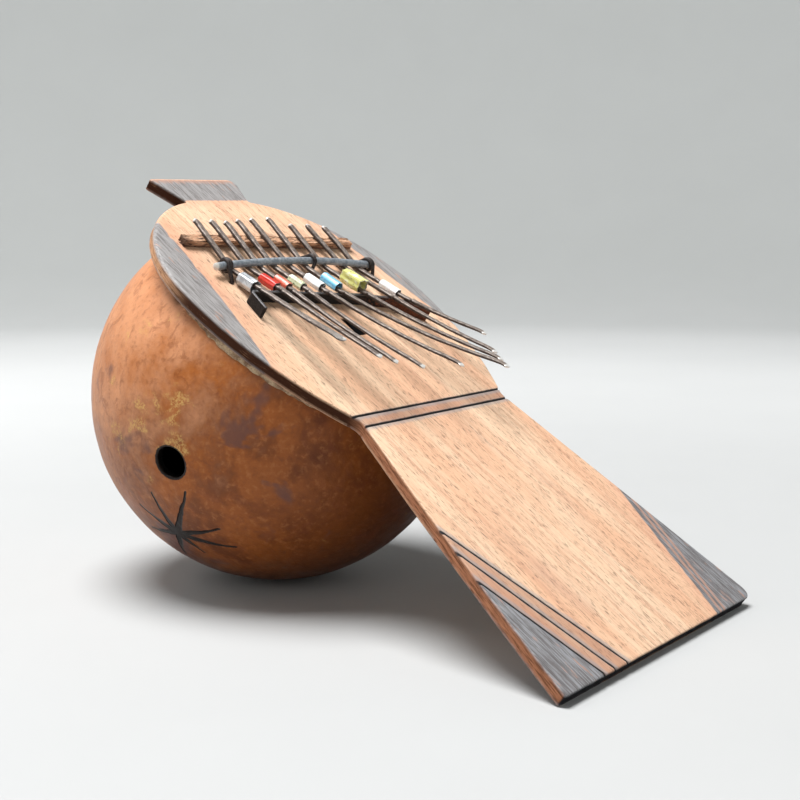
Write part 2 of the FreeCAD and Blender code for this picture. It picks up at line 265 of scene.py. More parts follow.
class Paint:
    """A material being built: each method adds a node and returns its output."""

    def __init__(self, name):
        self.material = bpy.data.materials.new(name)
        self.material.use_nodes = True
        self.tree = self.material.node_tree
        self.surface = self.tree.nodes["Principled BSDF"]

    def feed(self, socket, value):
        if isinstance(value, bpy.types.NodeSocket):
            self.tree.links.new(value, socket)
        else:
            socket.default_value = value

    def node(self, kind, inputs=(), output=0, **settings):
        made = self.tree.nodes.new(kind)
        for key, value in settings.items():
            setattr(made, key, value)
        for key, value in dict(inputs).items():
            self.feed(made.inputs[key], value)
        return made.outputs[output]

    def math(self, operation, a, b=0.0):
        return self.node("ShaderNodeMath", {0: a, 1: b}, operation=operation)

    def add(self, a, b):
        return self.math("ADD", a, b)

    def less(self, a, b):
        return self.math("SUBTRACT", a, b)

    def times(self, a, b):
        return self.math("MULTIPLY", a, b)

    def larger(self, *values):
        return functools.reduce(lambda a, b: self.math("MAXIMUM", a, b), values)

    def smaller(self, *values):
        return functools.reduce(lambda a, b: self.math("MINIMUM", a, b), values)

    def size(self, value):
        return self.math("ABSOLUTE", value)

    def vector(self, operation, a, b=(0.0, 0.0, 0.0), output=0):
        return self.node("ShaderNodeVectorMath", {0: a, 1: b}, output, operation=operation)

    def dot(self, a, b):
        return self.vector("DOT_PRODUCT", a, b, "Value")

    def mix(self, share, a, b):
        made = self.tree.nodes.new("ShaderNodeMix")
        made.data_type = "RGBA"
        made.clamp_factor = True
        self.feed(made.inputs["Factor"], share)
        self.feed(made.inputs[6], a)
        self.feed(made.inputs[7], b)
        return made.outputs[2]

    def cover(self, below, above, value, low, high, share=1.0):
        """One colour over another, its share growing smoothly as a value goes from low to high."""
        return self.mix(self.step(value, low, high, 0.0, share), below, above)

    def step(self, value, low, high, to_low=0.0, to_high=1.0):
        """Smooth change from to_low to to_high as a value goes from low to high."""
        inputs = {"Value": value, "From Min": low, "From Max": high, "To Min": to_low, "To Max": to_high}
        return self.node("ShaderNodeMapRange", inputs, interpolation_type="SMOOTHSTEP")

    def noise(self, place, scale, detail=3.0, rough=0.55, warp=0.0):
        return self.node("ShaderNodeTexNoise", {"Vector": place, "Scale": scale, "Detail": detail,
                                                "Roughness": rough, "Distortion": warp})

    def bent(self, place, scale, detail, reach):
        """A place shifted by noise, up to a reach along each axis."""
        colour = self.node("ShaderNodeTexNoise", {"Vector": place, "Scale": scale, "Detail": detail}, "Color")
        return self.vector("ADD", place, self.scaled(colour, *reach))

    def scaled(self, place, x, y, z):
        return self.vector("MULTIPLY", place, (x, y, z))

    def parts(self, place):
        made = self.tree.nodes.new("ShaderNodeSeparateXYZ")
        self.feed(made.inputs[0], place)
        return made.outputs

    def value(self, name):
        return self.node("ShaderNodeAttribute", output="Fac", attribute_name=name)

    def board_place(self):
        """Where a point lies in the board's frame, in millimetres."""
        place = self.node("ShaderNodeTexCoord", output="Object")
        return self.node("ShaderNodeMapping", {"Vector": place, "Location": tuple(-ORIGIN * 1000),
                                               "Rotation": (-TILT, 0.0, 0.0), "Scale": (1000.0,) * 3})

    def place_about(self, centre):
        """Where a point lies about a centre given in metres, in millimetres along the row's axes."""
        place = self.node("ShaderNodeTexCoord", output="Object")
        return self.node("ShaderNodeMapping", {"Vector": place, "Location": tuple(-np.asarray(centre) * 1000),
                                               "Scale": (1000.0,) * 3})

    def finish(self, colour, roughness, height=None, depth=0.0002, strength=1.0, metallic=0.0, **more):
        self.feed(self.surface.inputs["Base Color"], colour)
        self.feed(self.surface.inputs["Roughness"], roughness)
        self.feed(self.surface.inputs["Metallic"], metallic)
        for key, value in more.items():
            self.feed(self.surface.inputs[key.replace("_", " ")], value)
        if height is not None:
            bump = self.node("ShaderNodeBump", {"Height": height, "Strength": strength, "Distance": depth})
            self.feed(self.surface.inputs["Normal"], bump)
        return self.material


def circle_through(a, b, c):
    """The centre and radius of the circle through three (x, y) points."""
    (ax, ay), (bx, by), (cx, cy) = a, b, c
    double = 2 * (ax * (by - cy) + bx * (cy - ay) + cx * (ay - by))
    sa, sb, sc = ax * ax + ay * ay, bx * bx + by * by, cx * cx + cy * cy
    x = (sa * (by - cy) + sb * (cy - ay) + sc * (ay - by)) / double
    y = (sa * (cx - bx) + sb * (ax - cx) + sc * (bx - ax)) / double
    return (x, y), math.hypot(ax - x, ay - y)


def past_line(paint, place, a, b, side):
    """How far a point lies past the line from a to b, towards the side given by a sign."""
    along = unit(np.array(b, float) - np.array(a, float))
    normal = np.array([-along[1], along[0]]) * side
    return paint.less(paint.dot(place, (normal[0], normal[1], 0.0)), float(normal @ np.array(a)))


WOOD_LIGHT = rgb(236, 204, 172)
WOOD_WARM = rgb(226, 180, 146)
WOOD_BAND = rgb(202, 152, 124)
WOOD_DARK = rgb(150, 104, 78)
WOOD_PORE = rgb(74, 44, 33)
WOOD_PINK = rgb(212, 152, 124)
WOOD_GREY = rgb(166, 146, 136)
CHAR = rgb(30, 30, 33)
CHAR_BLUE = rgb(143, 147, 152)
CHAR_DARK = rgb(84, 85, 88)
CHAR_PINK = rgb(178, 138, 120)
ASH = rgb(158, 156, 154)
STRIP_BROWN = rgb(158, 112, 92)
SIDE_BROWN = rgb(156, 104, 76)
SIDE_DARK = rgb(62, 35, 22)
SIDE_TAN = rgb(190, 144, 110)
SIDE_CHANGES = ((SIDE_DARK, 148.0, 156.0), (SIDE_TAN, 236.0, 262.0), (SIDE_DARK, 298.0, 308.0))   # along y


def wood_grain(paint, place):
    """Colour, roughness and height of the bare peach-tan wood, its grain along y."""
    bent = paint.bent(place, 0.012, 2.0, (9.0, 0.0, 0.0))
    broad = paint.noise(paint.scaled(bent, 1.0, 0.10, 1.0), 0.055, 3.0)
    bands = paint.noise(paint.scaled(bent, 1.0, 0.035, 1.0), 0.42, 4.0, 0.6)
    fibre = paint.noise(paint.scaled(bent, 1.0, 0.045, 1.0), 2.1, 3.0, 0.6)
    pores = paint.noise(paint.scaled(bent, 1.0, 0.10, 1.0), 2.3, 2.0, 0.5)
    pore_mask = paint.step(pores, 0.59, 0.69)
    blotch = paint.noise(paint.scaled(place, 1.0, 0.5, 1.0), 0.022, 3.0)
    colour = paint.cover(WOOD_LIGHT, WOOD_WARM, broad, 0.32, 0.68)
    colour = paint.cover(colour, WOOD_BAND, bands, 0.45, 0.72, 0.62)
    colour = paint.cover(colour, WOOD_DARK, fibre, 0.42, 0.70, 0.30)
    colour = paint.mix(paint.times(pore_mask, 0.66), colour, WOOD_PORE)
    colour = paint.cover(colour, WOOD_GREY, blotch, 0.55, 0.75, 0.30)
    height = paint.less(paint.times(fibre, 0.6), pore_mask)
    return colour, height, bands


def burnt_band(paint, place, x, y, edge, inward):
    """How far a point lies inside the burnt band between an arc and one side of the board."""
    (cx, cy), radius = circle_through(*edge)
    from_centre = paint.vector("SUBTRACT", paint.scaled(place, 1.0, 1.0, 0.0), (cx, cy, 0.0))
    bulge = 1.0 if math.hypot(cx, cy - BELLY_Y) < radius else -1.0
    outside = paint.times(paint.less(paint.vector("LENGTH", from_centre, output="Value"), radius), bulge)
    own_side = paint.times(x, -float(inward))
    return paint.smaller(outside, paint.less(own_side, 30.0), paint.less(BURN_Y[1], y),
                         paint.less(y, BURN_Y[0]))


def bare_strips(paint, place, y):
    """How far a point lies inside the darker strips between the grooves."""
    corner = paint.smaller(past_line(paint, place, *CORNER_GROOVES[0], -1),
                           past_line(paint, place, *CORNER_GROOVES[2], 1))
    waist = paint.smaller(paint.less(CROSS_GROOVES[0], y), paint.less(y, CROSS_GROOVES[1]))
    return paint.larger(corner, waist)


def charred_wood(paint, place, y, ragged, right_corner):
    """The burnt bands: streaked blue-grey, ashen on the body, worn pink in patches and at the tab's end."""
    streak = paint.noise(paint.scaled(place, 1.0, 0.07, 1.0), 1.1, 4.0, 0.65)
    patch = paint.noise(paint.scaled(place, 1.0, 0.22, 1.0), 0.33, 4.0, 0.6)
    charred = paint.mix(paint.step(streak, 0.36, 0.66), CHAR_DARK, CHAR_BLUE)
    ashen = paint.times(paint.step(y, 150.0, 200.0), paint.step(streak, 0.30, 0.62, 0.15, 0.60))
    charred = paint.mix(ashen, charred, ASH)
    charred = paint.cover(charred, CHAR_PINK, patch, 0.60, 0.70, 0.75)
    stripe_at = paint.smaller(*(paint.size(paint.less(right_corner, offset)) for offset in CORNER_STRIPES))
    stripe = paint.step(paint.add(stripe_at, paint.times(ragged, 0.25)), 1.3, 0.5)
    stripe = paint.times(stripe, paint.step(right_corner, 0.0, 1.0))
    charred = paint.mix(paint.times(stripe, 0.8), charred, CHAR_PINK)
    worn = paint.add(paint.step(y, *TAB_WORN_Y), paint.times(ragged, 0.25))
    return paint.cover(charred, CHAR_PINK, worn, 0.35, 1.0, 0.8)


def grooved(paint, place, y, ragged, colour):
    """The burnt grooves, black in their middle and scorched along one side."""
    lines = [paint.less(y, at) for at in CROSS_GROOVES]
    lines += [past_line(paint, place, *groove, -1) for groove in CORNER_GROOVES]
    nearest = paint.smaller(*(paint.size(line) for line in lines))
    scorch = paint.smaller(*(paint.size(paint.add(line, 0.8)) for line in lines))
    colour = paint.cover(colour, CHAR_BLUE, paint.add(scorch, paint.times(ragged, 0.5)), 2.6, 0.5, 0.55)
    return paint.cover(colour, CHAR, paint.add(nearest, paint.times(ragged, 0.06)), GROOVE_HALF + 0.1, 0.45)


def side_wood(paint, y, side_streak):
    """The side faces: black at the handle's end and along the body, paler on the handle and the shoulder."""
    colour = SIDE_BROWN
    for next_colour, start, end in SIDE_CHANGES:
        colour = paint.cover(colour, next_colour, y, start, end)
    colour = paint.cover(colour, SIDE_DARK, side_streak, 0.42, 0.66, 0.7)
    colour = paint.cover(colour, SIDE_TAN, side_streak, 0.42, 0.30, 0.25)
    return paint.cover(colour, CHAR, y, 1.6, 0.6)


def board_wood():
    """Bare wood with burnt bands, corners, tab and grooves; "side" is 1 on the walls and 2 in the holes."""
    paint = Paint("board_wood")
    place = paint.board_place()
    x, y, z = paint.parts(place)
    bare, height, bands = wood_grain(paint, place)

    ragged = paint.less(paint.noise(paint.scaled(place, 1.0, 0.25, 1.0), 0.5, 4.0), 0.5)
    ragged = paint.times(ragged, 5.0)
    right_corner = past_line(paint, place, *RIGHT_CORNER_EDGE, 1)
    tab_end = BOARD["soundboard"][:, 1].max() - 1.0
    burnt_area = paint.larger(burnt_band(paint, place, x, y, LEFT_BURN_EDGE, 1),
                              burnt_band(paint, place, x, y, RIGHT_BURN_EDGE, -1),
                              past_line(paint, place, *CORNER_GROOVES[2], -1), right_corner,
                              paint.smaller(paint.less(y, TAB_BURN_Y), paint.less(tab_end, y)))
    past_edge = paint.add(burnt_area, paint.times(ragged, 0.35))
    burnt = paint.step(past_edge, -0.5, 0.6)
    bare = paint.cover(bare, WOOD_PINK, past_edge, -9.0, -0.5, 0.40)
    bare = paint.cover(bare, STRIP_BROWN, bare_strips(paint, place, y), -0.3, 0.6, 0.55)
    charred = charred_wood(paint, place, y, ragged, right_corner)
    colour = paint.mix(paint.times(burnt, 0.95), bare, charred)
    colour = grooved(paint, place, y, ragged, colour)

    side = paint.value("side")
    side_streak = paint.noise(paint.scaled(place, 0.25, 0.12, 1.6), 1.0, 4.0, 0.65)
    colour = paint.mix(side, colour, side_wood(paint, y, side_streak))
    colour = paint.cover(colour, CHAR, side, 1.1, 1.6)
    colour = paint.cover(colour, WOOD_DARK, z, 0.9, 0.3, 0.45)

    on_side = paint.smaller(side, 1.0)
    gloss = paint.less(paint.step(bands, 0.3, 0.7, 0.50, 0.62), paint.times(burnt, 0.04))
    gloss = paint.add(gloss, paint.times(on_side, 0.25))
    height = paint.add(height, paint.times(paint.times(on_side, side_streak), 3.5))
    return paint.finish(colour, gloss, height, depth=0.00022, strength=0.75,
                        Specular_IOR_Level=paint.step(on_side, 0.0, 1.0, 0.35, 0.08))


def rough_wood():
    """Split, unplaned wood with dark cracks along x, and painted shade along its foot and at its left end."""
    paint = Paint("bridge_wood")
    place = paint.board_place()
    fibre = paint.noise(paint.scaled(place, 0.09, 1.2, 1.2), 1.3, 4.0, 0.65)
    cracks = paint.noise(paint.scaled(place, 0.16, 1.4, 1.4), 1.1, 3.0, 0.6)
    patches = paint.noise(paint.scaled(place, 1.0, 1.0, 1.0), 0.12, 3.0)
    x, _, z = paint.parts(place)
    colour = paint.cover(rgb(222, 180, 146), rgb(168, 118, 88), fibre, 0.35, 0.65)
    colour = paint.cover(colour, rgb(116, 78, 56), patches, 0.5, 0.7, 0.5)
    # Painted shade: darker along the strip's foot, where it meets the board, and at its left end.
    painted_shade_foot = paint.add(z, paint.times(fibre, 1.6))
    colour = paint.mix(paint.step(painted_shade_foot, THICK + 2.9, THICK + 1.2, 0.0, 0.7), colour, rgb(92, 58, 42))
    colour = paint.cover(colour, rgb(58, 36, 28), x, -50.0, -57.0, 0.8)
    crack = paint.step(cracks, 0.55, 0.63)
    colour = paint.mix(paint.times(crack, 0.85), colour, rgb(42, 26, 20))
    height = paint.less(fibre, crack)
    return paint.finish(colour, paint.step(fibre, 0.3, 0.7, 0.62, 0.85), height, depth=0.0005,
                        Specular_IOR_Level=0.3)


def hoop_iron():
    """Black scaled strip iron, worn bright on its top edge and rusty towards its right end."""
    paint = Paint("bridge_iron")
    place = paint.board_place()
    x, _, z = paint.parts(place)
    scale = paint.noise(place, 0.9, 5.0, 0.65)
    grit = paint.noise(place, 3.2, 3.0, 0.6)
    colour = paint.cover(rgb(12, 11, 11), rgb(28, 24, 23), scale, 0.4, 0.65)
    rust_area = paint.add(paint.step(x, 5.0, 50.0), paint.step(scale, 0.48, 0.66, -0.35, 0.45))
    colour = paint.mix(paint.times(paint.step(rust_area, 0.35, 0.9), 0.85), colour,
                       paint.mix(grit, rgb(96, 48, 26), rgb(142, 82, 52)))
    worn = paint.times(paint.step(paint.add(z, paint.times(grit, 0.5)), THICK + 5.75,
                                             THICK + 6.35), paint.step(x, 46.0, 20.0, 0.3, 1.0))
    colour = paint.mix(paint.times(worn, 0.8), colour, rgb(132, 131, 132))
    metallic = paint.times(worn, 0.8)
    height = paint.add(scale, paint.times(grit, 0.4))
    return paint.finish(colour, paint.step(worn, 0.0, 1.0, 0.60, 0.36), height, depth=0.00035,
                        metallic=metallic, Specular_IOR_Level=0.25)


def galvanised():
    paint = Paint("galvanised_rod")
    place = paint.board_place()
    spangle = paint.noise(place, 0.6, 4.0, 0.6, 0.4)
    grit = paint.noise(place, 4.0, 3.0, 0.6)
    cut = paint.value("cut")
    colour = paint.cover(rgb(128, 136, 145), rgb(172, 178, 184), spangle, 0.35, 0.68)
    colour = paint.cover(colour, rgb(70, 72, 78), grit, 0.55, 0.75, 0.5)
    colour = paint.mix(cut, colour, rgb(216, 212, 204))
    height = paint.add(spangle, paint.times(grit, 0.3))
    return paint.finish(colour, paint.step(spangle, 0.3, 0.7, 0.42, 0.58), height, depth=0.00018,
                        metallic=0.45)


def black_wire():
    paint = Paint("tie_wire")
    place = paint.board_place()
    scale = paint.noise(place, 1.6, 4.0, 0.65)
    colour = paint.cover(rgb(38, 34, 34), rgb(74, 62, 58), scale, 0.42, 0.66)
    colour = paint.cover(colour, rgb(98, 58, 40), scale, 0.62, 0.74, 0.6)
    return paint.finish(colour, paint.step(scale, 0.3, 0.7, 0.42, 0.62), scale, depth=0.00015, metallic=0.45)


def tine_steel():
    """Hammered dark steel, bright where it was cut or is plucked, with painted shade on its sides and underside.
    """
    paint = Paint("tine_iron")
    place = paint.board_place()
    dents = paint.noise(paint.scaled(place, 1.0, 0.55, 1.0), 0.75, 3.0, 0.5)
    grit = paint.noise(place, 3.0, 4.0, 0.65)
    rubbed = paint.noise(paint.scaled(place, 1.0, 0.12, 1.0), 2.2, 3.0, 0.6)
    bright, painted_shade_flank = paint.value("bright"), paint.value("painted_shade_flank")
    colour = paint.cover(rgb(104, 91, 84), rgb(148, 134, 125), dents, 0.35, 0.65)
    colour = paint.cover(colour, rgb(70, 56, 50), grit, 0.52, 0.72, 0.6)
    colour = paint.cover(colour, rgb(188, 180, 172), rubbed, 0.48, 0.70, 0.55)
    # Painted shade: the tine's sides and underside are painted darker than its top.
    colour = paint.mix(paint.times(painted_shade_flank, 0.84), colour, rgb(42, 33, 30))
    worn = paint.step(paint.add(bright, paint.times(paint.less(grit, 0.5), 0.7)), 0.35, 0.65)
    colour = paint.mix(worn, colour, rgb(226, 224, 220))
    gloss = paint.step(worn, 0.0, 1.0, 0.46, 0.28)
    height = paint.add(dents, paint.times(grit, 0.25))
    return paint.finish(colour, gloss, height, depth=0.00030, strength=0.7, metallic=0.35)


def printed_tin(name, main, second, marks, mark_share, metal):
    """Printed sheet tin: a colour with patches of a second, small marks, and bare metal along its ends."""
    paint = Paint(name)
    place = paint.board_place()
    patch = paint.noise(paint.scaled(place, 1.0, 0.6, 1.0), 0.32, 2.0, 0.5, 0.6)
    speck = paint.noise(place, 0.95, 3.0, 0.6, 0.8)
    grit = paint.noise(place, 3.5, 3.0, 0.6)
    colour = paint.cover(main, second, patch, 0.52, 0.60)
    colour = paint.mix(paint.step(speck, 0.70 - mark_share, 0.74 - mark_share), colour, marks)
    worn = paint.step(paint.add(paint.value("bright"), paint.times(grit, 0.45)), 0.95, 1.15)
    colour = paint.mix(worn, colour, rgb(206, 206, 206))
    metallic = paint.larger(paint.times(worn, 0.7), metal)
    gloss = paint.step(grit, 0.3, 0.7, 0.30, 0.42)
    return paint.finish(colour, gloss, paint.noise(place, 0.5, 3.0), depth=0.00025, strength=0.5,
                        metallic=metallic, Coat_Weight=0.25, Coat_Roughness=0.25)


def glue_skin():
    paint = Paint("glue")
    place = paint.board_place()
    clots = paint.noise(place, 0.22, 4.0, 0.6)
    fine = paint.noise(place, 1.4, 3.0, 0.6)
    colour = paint.cover(rgb(176, 150, 116), rgb(118, 86, 58), clots, 0.38, 0.62)
    colour = paint.cover(colour, rgb(78, 54, 38), fine, 0.50, 0.72, 0.7)
    height = paint.add(clots, paint.times(fine, 0.4))
    return paint.finish(colour, paint.step(clots, 0.3, 0.7, 0.42, 0.65), height, depth=0.0006)


def gourd_skin(centre, radius, hole_axis):
    """Mottled orange-brown rind with pale scratches, grey stains, a burnt hole rim and a burnt star; paler at the
    upper left and darker at the lower right, partly its own tone and partly painted light and shade.
    """
    paint = Paint("gourd")
    place = paint.place_about(centre)
    warped = paint.bent(place, 0.03, 3.0, (14.0, 14.0, 14.0))
    broad = paint.noise(warped, 0.014, 4.0, 0.6)
    mottle = paint.noise(warped, 0.055, 5.0, 0.62)
    freckle = paint.noise(place, 0.32, 4.0, 0.6)
    fine = paint.noise(place, 1.3, 3.0, 0.6)
    outward = paint.vector("NORMALIZE", place)
    # Painted light and shade, partly the rind's own tone: the rind is paler towards the upper left, where the
    # light comes from, and darker at the lower right.
    paler = paint.dot(outward, tuple(direction_at(146.0, 32.0)))

    colour = paint.cover(rgb(156, 86, 32), rgb(108, 54, 17), mottle, 0.34, 0.66)
    colour = paint.cover(colour, rgb(84, 42, 19), broad, 0.50, 0.66, 0.60)
    pale = paint.add(paler, paint.times(paint.less(mottle, 0.5), 1.6))
    # Paler peach at the upper left: partly the rind's own tone, partly a painted highlight.
    colour = paint.cover(colour, rgb(214, 150, 108), pale, 0.26, 1.20, 0.86)
    colour = paint.cover(colour, rgb(96, 50, 27), freckle, 0.48, 0.78, 0.38)
    colour = paint.cover(colour, rgb(196, 130, 80), freckle, 0.50, 0.28, 0.30)
    # Painted shade, partly the rind's own darker tone: darker brown at the lower right, away from the light.
    colour = paint.cover(colour, rgb(70, 33, 11), pale, 0.30, -1.0, 0.84)
    cloud = paint.noise(warped, 0.10, 4.0, 0.7, 0.8)
    colour = paint.cover(colour, rgb(116, 60, 30), cloud, 0.54, 0.66, 0.42)
    stain = paint.noise(paint.vector("ADD", place, (31.0, 7.0, -12.0)), 0.021, 4.0, 0.62, 0.5)
    beside_hole = paint.step(paint.dot(outward, tuple(direction_at(207.0, 5.0))), 0.955, 0.995, -0.03, 0.12)
    stain = paint.add(stain, beside_hole)
    colour = paint.cover(colour, rgb(92, 64, 62), stain, 0.56, 0.63, 0.62)

    # Scratched patches: short pale lines, in a few places.
    scratch_area = paint.noise(paint.vector("ADD", place, (-55.0, 20.0, 40.0)), 0.050, 3.0, 0.6, 0.6)
    scratch_line = paint.noise(place, 0.85, 5.0, 0.8, 0.5)
    near_hole = paint.step(paint.dot(outward, tuple(direction_at(180.0, 6.0))), 0.84, 0.96, -0.12, 0.03)
    scratch_area = paint.add(scratch_area, near_hole)
    scratch = paint.times(paint.step(scratch_area, 0.58, 0.67), paint.step(scratch_line, 0.45, 0.56))
    colour = paint.mix(paint.times(scratch, 0.72), colour, rgb(204, 166, 100))

    from_hole = paint.math("ARCCOSINE", paint.dot(outward, tuple(hole_axis)))
    rim_width = paint.add(paint.times(from_hole, radius), paint.times(fine, -1.2))
    colour = paint.cover(colour, rgb(6, 4, 3), rim_width, HOLE_RADIUS + 0.6, HOLE_RADIUS + 0.2, 0.98)
    # Painted shade: the inside of the shell is painted near-black, standing in for the darkness within the hole.
    inside = paint.step(paint.vector("LENGTH", place, output="Value"), radius - 1.4, radius - 2.2)
    colour = paint.mix(inside, colour, rgb(8, 6, 5))

    star, groove = star_marks(paint, place, outward, fine)
    colour = paint.mix(star, colour, rgb(7, 5, 4))
    dent = paint.times(groove, -2.2)
    knobs = paint.noise(warped, 0.13, 3.0, 0.5)
    height = paint.add(paint.times(freckle, 0.5), paint.times(fine, 0.18))
    height = paint.add(paint.add(height, paint.times(knobs, 1.6)), dent)
    gloss = paint.add(paint.step(mottle, 0.3, 0.7, 0.34, 0.50), paint.times(scratch, 0.25))
    return paint.finish(colour, gloss, height, depth=0.00035, strength=0.8, Specular_IOR_Level=0.24)


def star_marks(paint, place, outward, fine):
    """The burnt star: eight tapered strokes from one centre, as (darkness, depth)."""
    centre = direction_at(*STAR_DIRECTION)
    east = unit(np.cross([0.0, 0.0, 1.0], centre))
    north = np.cross(centre, east)
    east_part, north_part = paint.dot(place, tuple(east)), paint.dot(place, tuple(north))
    flat = paint.node("ShaderNodeCombineXYZ", {"X": east_part, "Y": north_part, "Z": 0.0})
    wobble = paint.node("ShaderNodeTexNoise", {"Vector": flat, "Scale": 0.18, "Detail": 2.0}, "Color")
    wobble = paint.scaled(paint.vector("SUBTRACT", wobble, (0.5, 0.5, 0.5)), 1.5, 1.5, 0.0)
    flat = paint.vector("ADD", flat, wobble)
    depths = []
    for tip_x, tip_y in STAR_RAYS:
        length = math.hypot(tip_x, tip_y)
        along = paint.math("DIVIDE", paint.dot(flat, (tip_x / length, tip_y / length, 0.0)), length)
        share = paint.larger(paint.smaller(along, 1.0), 0.0)
        foot = paint.vector("SCALE", (tip_x, tip_y, 0.0))
        paint.feed(foot.node.inputs["Scale"], share)
        apart = paint.vector("LENGTH", paint.vector("SUBTRACT", flat, foot), output="Value")
        half = paint.step(share, 0.0, 1.0, 1.75, 0.42)
        depths.append(paint.less(half, apart))
    deepest = paint.add(paint.larger(*depths), paint.times(paint.less(fine, 0.5), 0.5))
    facing = paint.step(paint.dot(outward, tuple(centre)), 0.5, 0.6)
    darkness = paint.times(paint.step(deepest, -0.45, 0.05, 0.0, 0.97), facing)
    return darkness, paint.times(paint.step(deepest, -0.25, 0.5), facing)


# ---- soundboard ----
def face_loops(node, z_value):
    """Closed (x, y) loops round a node's flat face at one height, longest first."""
    points = BOARD[node]
    sides = {}
    for polygon in NODES[node].data.polygons:
        corners = list(polygon.vertices)
        if all(abs(points[corner][2] - z_value) < 0.01 for corner in corners):
            keys = [tuple(np.round(points[corner][:2], 3)) for corner in corners]
            for a, b in zip(keys, keys[1:] + keys[:1]):
                if (b, a) in sides:
                    del sides[(b, a)]
                else:
                    sides[(a, b)] = True
    following = dict(sides.keys())
    loops = []
    while following:
        start, at = following.popitem()
        loop = [start]
        while at != start:
            loop.append(at)
            at = following.pop(at)
        loops.append(np.array(loop))
    return sorted(loops, key=lambda loop: -np.ptp(loop[:, 1]))


CORNER_TURN = math.radians(22.0)     # a loop that bends by more than this has a corner


def fine_loop(loop, spacing):
    """A closed loop with points at about one spacing, its corners kept."""
    loop = np.asarray(loop)
    before, after = loop - np.roll(loop, 1, 0), np.roll(loop, -1, 0) - loop
    turn = np.abs((np.arctan2(after[:, 1], after[:, 0]) - np.arctan2(before[:, 1], before[:, 0]) + math.pi)
                  % (2 * math.pi) - math.pi)
    corners = [index for index in range(len(loop)) if turn[index] > CORNER_TURN] or [0]
    pieces = []
    for first, last in zip(corners, corners[1:] + [corners[0] + len(loop)]):
        stretch = np.array([loop[index % len(loop)] for index in range(first, last + 1)])
        length = np.linalg.norm(np.diff(stretch, axis=0), axis=1).sum()
        pieces.append(even_steps(stretch, max(2, int(round(length / spacing)) + 1))[:-1])
    return np.vstack(pieces)


def loop_distance(points, loop):
    """The distance from each point to a closed loop."""
    a, b = loop, np.roll(loop, -1, 0)
    best = np.full(len(points), 1e9)
    for start, end in zip(a, b):
        along = end - start
        share = np.clip(((points - start) @ along) / (along @ along), 0, 1)
        apart = np.linalg.norm(points - start - share[:, None] * along, axis=1)
        best = np.minimum(best, apart)
    return best


def inside_loop(points, loop):
    """Which points lie inside a closed loop."""
    x, y = points[:, 0], points[:, 1]
    result = np.zeros(len(points), bool)
    for (x0, y0), (x1, y1) in zip(loop, np.roll(loop, -1, 0)):
        crosses = (y0 > y) != (y1 > y)
        if y1 != y0:
            result ^= crosses & (x < (x1 - x0) * (y - y0) / (y1 - y0) + x0)
    return result


def line_distance(points, a, b):
    along = unit(np.array(b, float) - np.array(a, float))
    return np.abs((points - np.array(a)) @ np.array([-along[1], along[0]]))


def groove_lines():
    wide = np.abs(BOARD["soundboard"][:, 0]).max() + 4
    lines = [((-wide, y), (wide, y)) for y in CROSS_GROOVES]
    for a, b in CORNER_GROOVES:
        a, b = np.array(a), np.array(b)
        along = unit(b - a)
        lines.append((tuple(a - along * 9), tuple(b + along * 9)))
    return lines


def soften(loop):
    for _ in range(2):
        loop = (np.roll(loop, 1, 0) + 2 * loop + np.roll(loop, -1, 0)) / 4
    return loop


def rounded_drop(distance, radius):
    """How far a rounded edge has dropped, at a distance in from it."""
    near = np.clip(radius - distance, 0, radius)
    return radius - np.sqrt(radius ** 2 - near ** 2)


def board_edge(loop):
    """The board's outline, softened and worn in a little, and its inward normals."""
    outline = soften(fine_loop(loop, 1.25))
    normals = np.roll(outline, -1, 0) - np.roll(outline, 1, 0)
    normals = np.stack([-normals[:, 1], normals[:, 0]], 1) / np.linalg.norm(normals, axis=1)[:, None]
    if not inside_loop(outline[:1] + normals[:1] * 0.5, outline)[0]:
        normals = -normals
    wear = [0.10 + 0.10 * wave(i * 0.21) + 0.25 * max(0.0, wave(i * 0.55, 2) - 0.35)
            for i in range(len(outline))]
    return outline + normals * np.array(wear)[:, None], normals


def groove_rows(start, end):
    """Rows of points along a groove: its two edges, its two flanks and its bottom."""
    start, end = np.array(start), np.array(end)
    along = unit(end - start)
    across = np.array([-along[1], along[0]])
    count = int(np.linalg.norm(end - start) / 2.0)
    rows = []
    for offset in (-1.0, -0.5, 0.0, 0.5, 1.0):
        shift = across * offset * GROOVE_HALF
        sway = [across * 0.12 * wave(i * 0.35, start[1]) for i in range(count)]
        rows.append([start + (end - start) * i / (count - 1) + shift + sway[i] for i in range(count)])
    return rows


def loose_points(outline, normals, holes, lines):
    """Points that fill the board's face: rings inside its edges, then an uneven grid."""
    loose = []
    for depth in (0.3, 0.75, 1.5):
        ring = outline + normals * depth
        loose.append(ring[loop_distance(ring, outline) > depth * 0.93])
    for hole in holes:
        for reach in (0.35, 0.9):
            out = hole - hole.mean(0)
            loose.append(hole + out / np.linalg.norm(out, axis=1)[:, None] * reach)
    low, high = outline.min(0), outline.max(0)
    grid = []
    for row, y in enumerate(np.arange(low[1], high[1], FACE_SPACING * 0.87)):
        for column, x in enumerate(np.arange(low[0] + (row % 2) * FACE_SPACING / 2, high[0], FACE_SPACING)):
            grid.append((x + 0.5 * wave(row * 3.7 + column, 1), y + 0.5 * wave(row * 2.3 - column, 5)))
    grid = np.array(grid)
    grid = grid[inside_loop(grid, outline)]
    keep = loop_distance(grid, outline) > 2.3
    for hole in holes:
        keep &= (loop_distance(grid, hole) > 1.2) & ~inside_loop(grid, hole)
    for a, b in lines:
        keep &= line_distance(grid, a, b) > GROOVE_HALF + 0.5
    return np.vstack(loose + [grid[keep]])


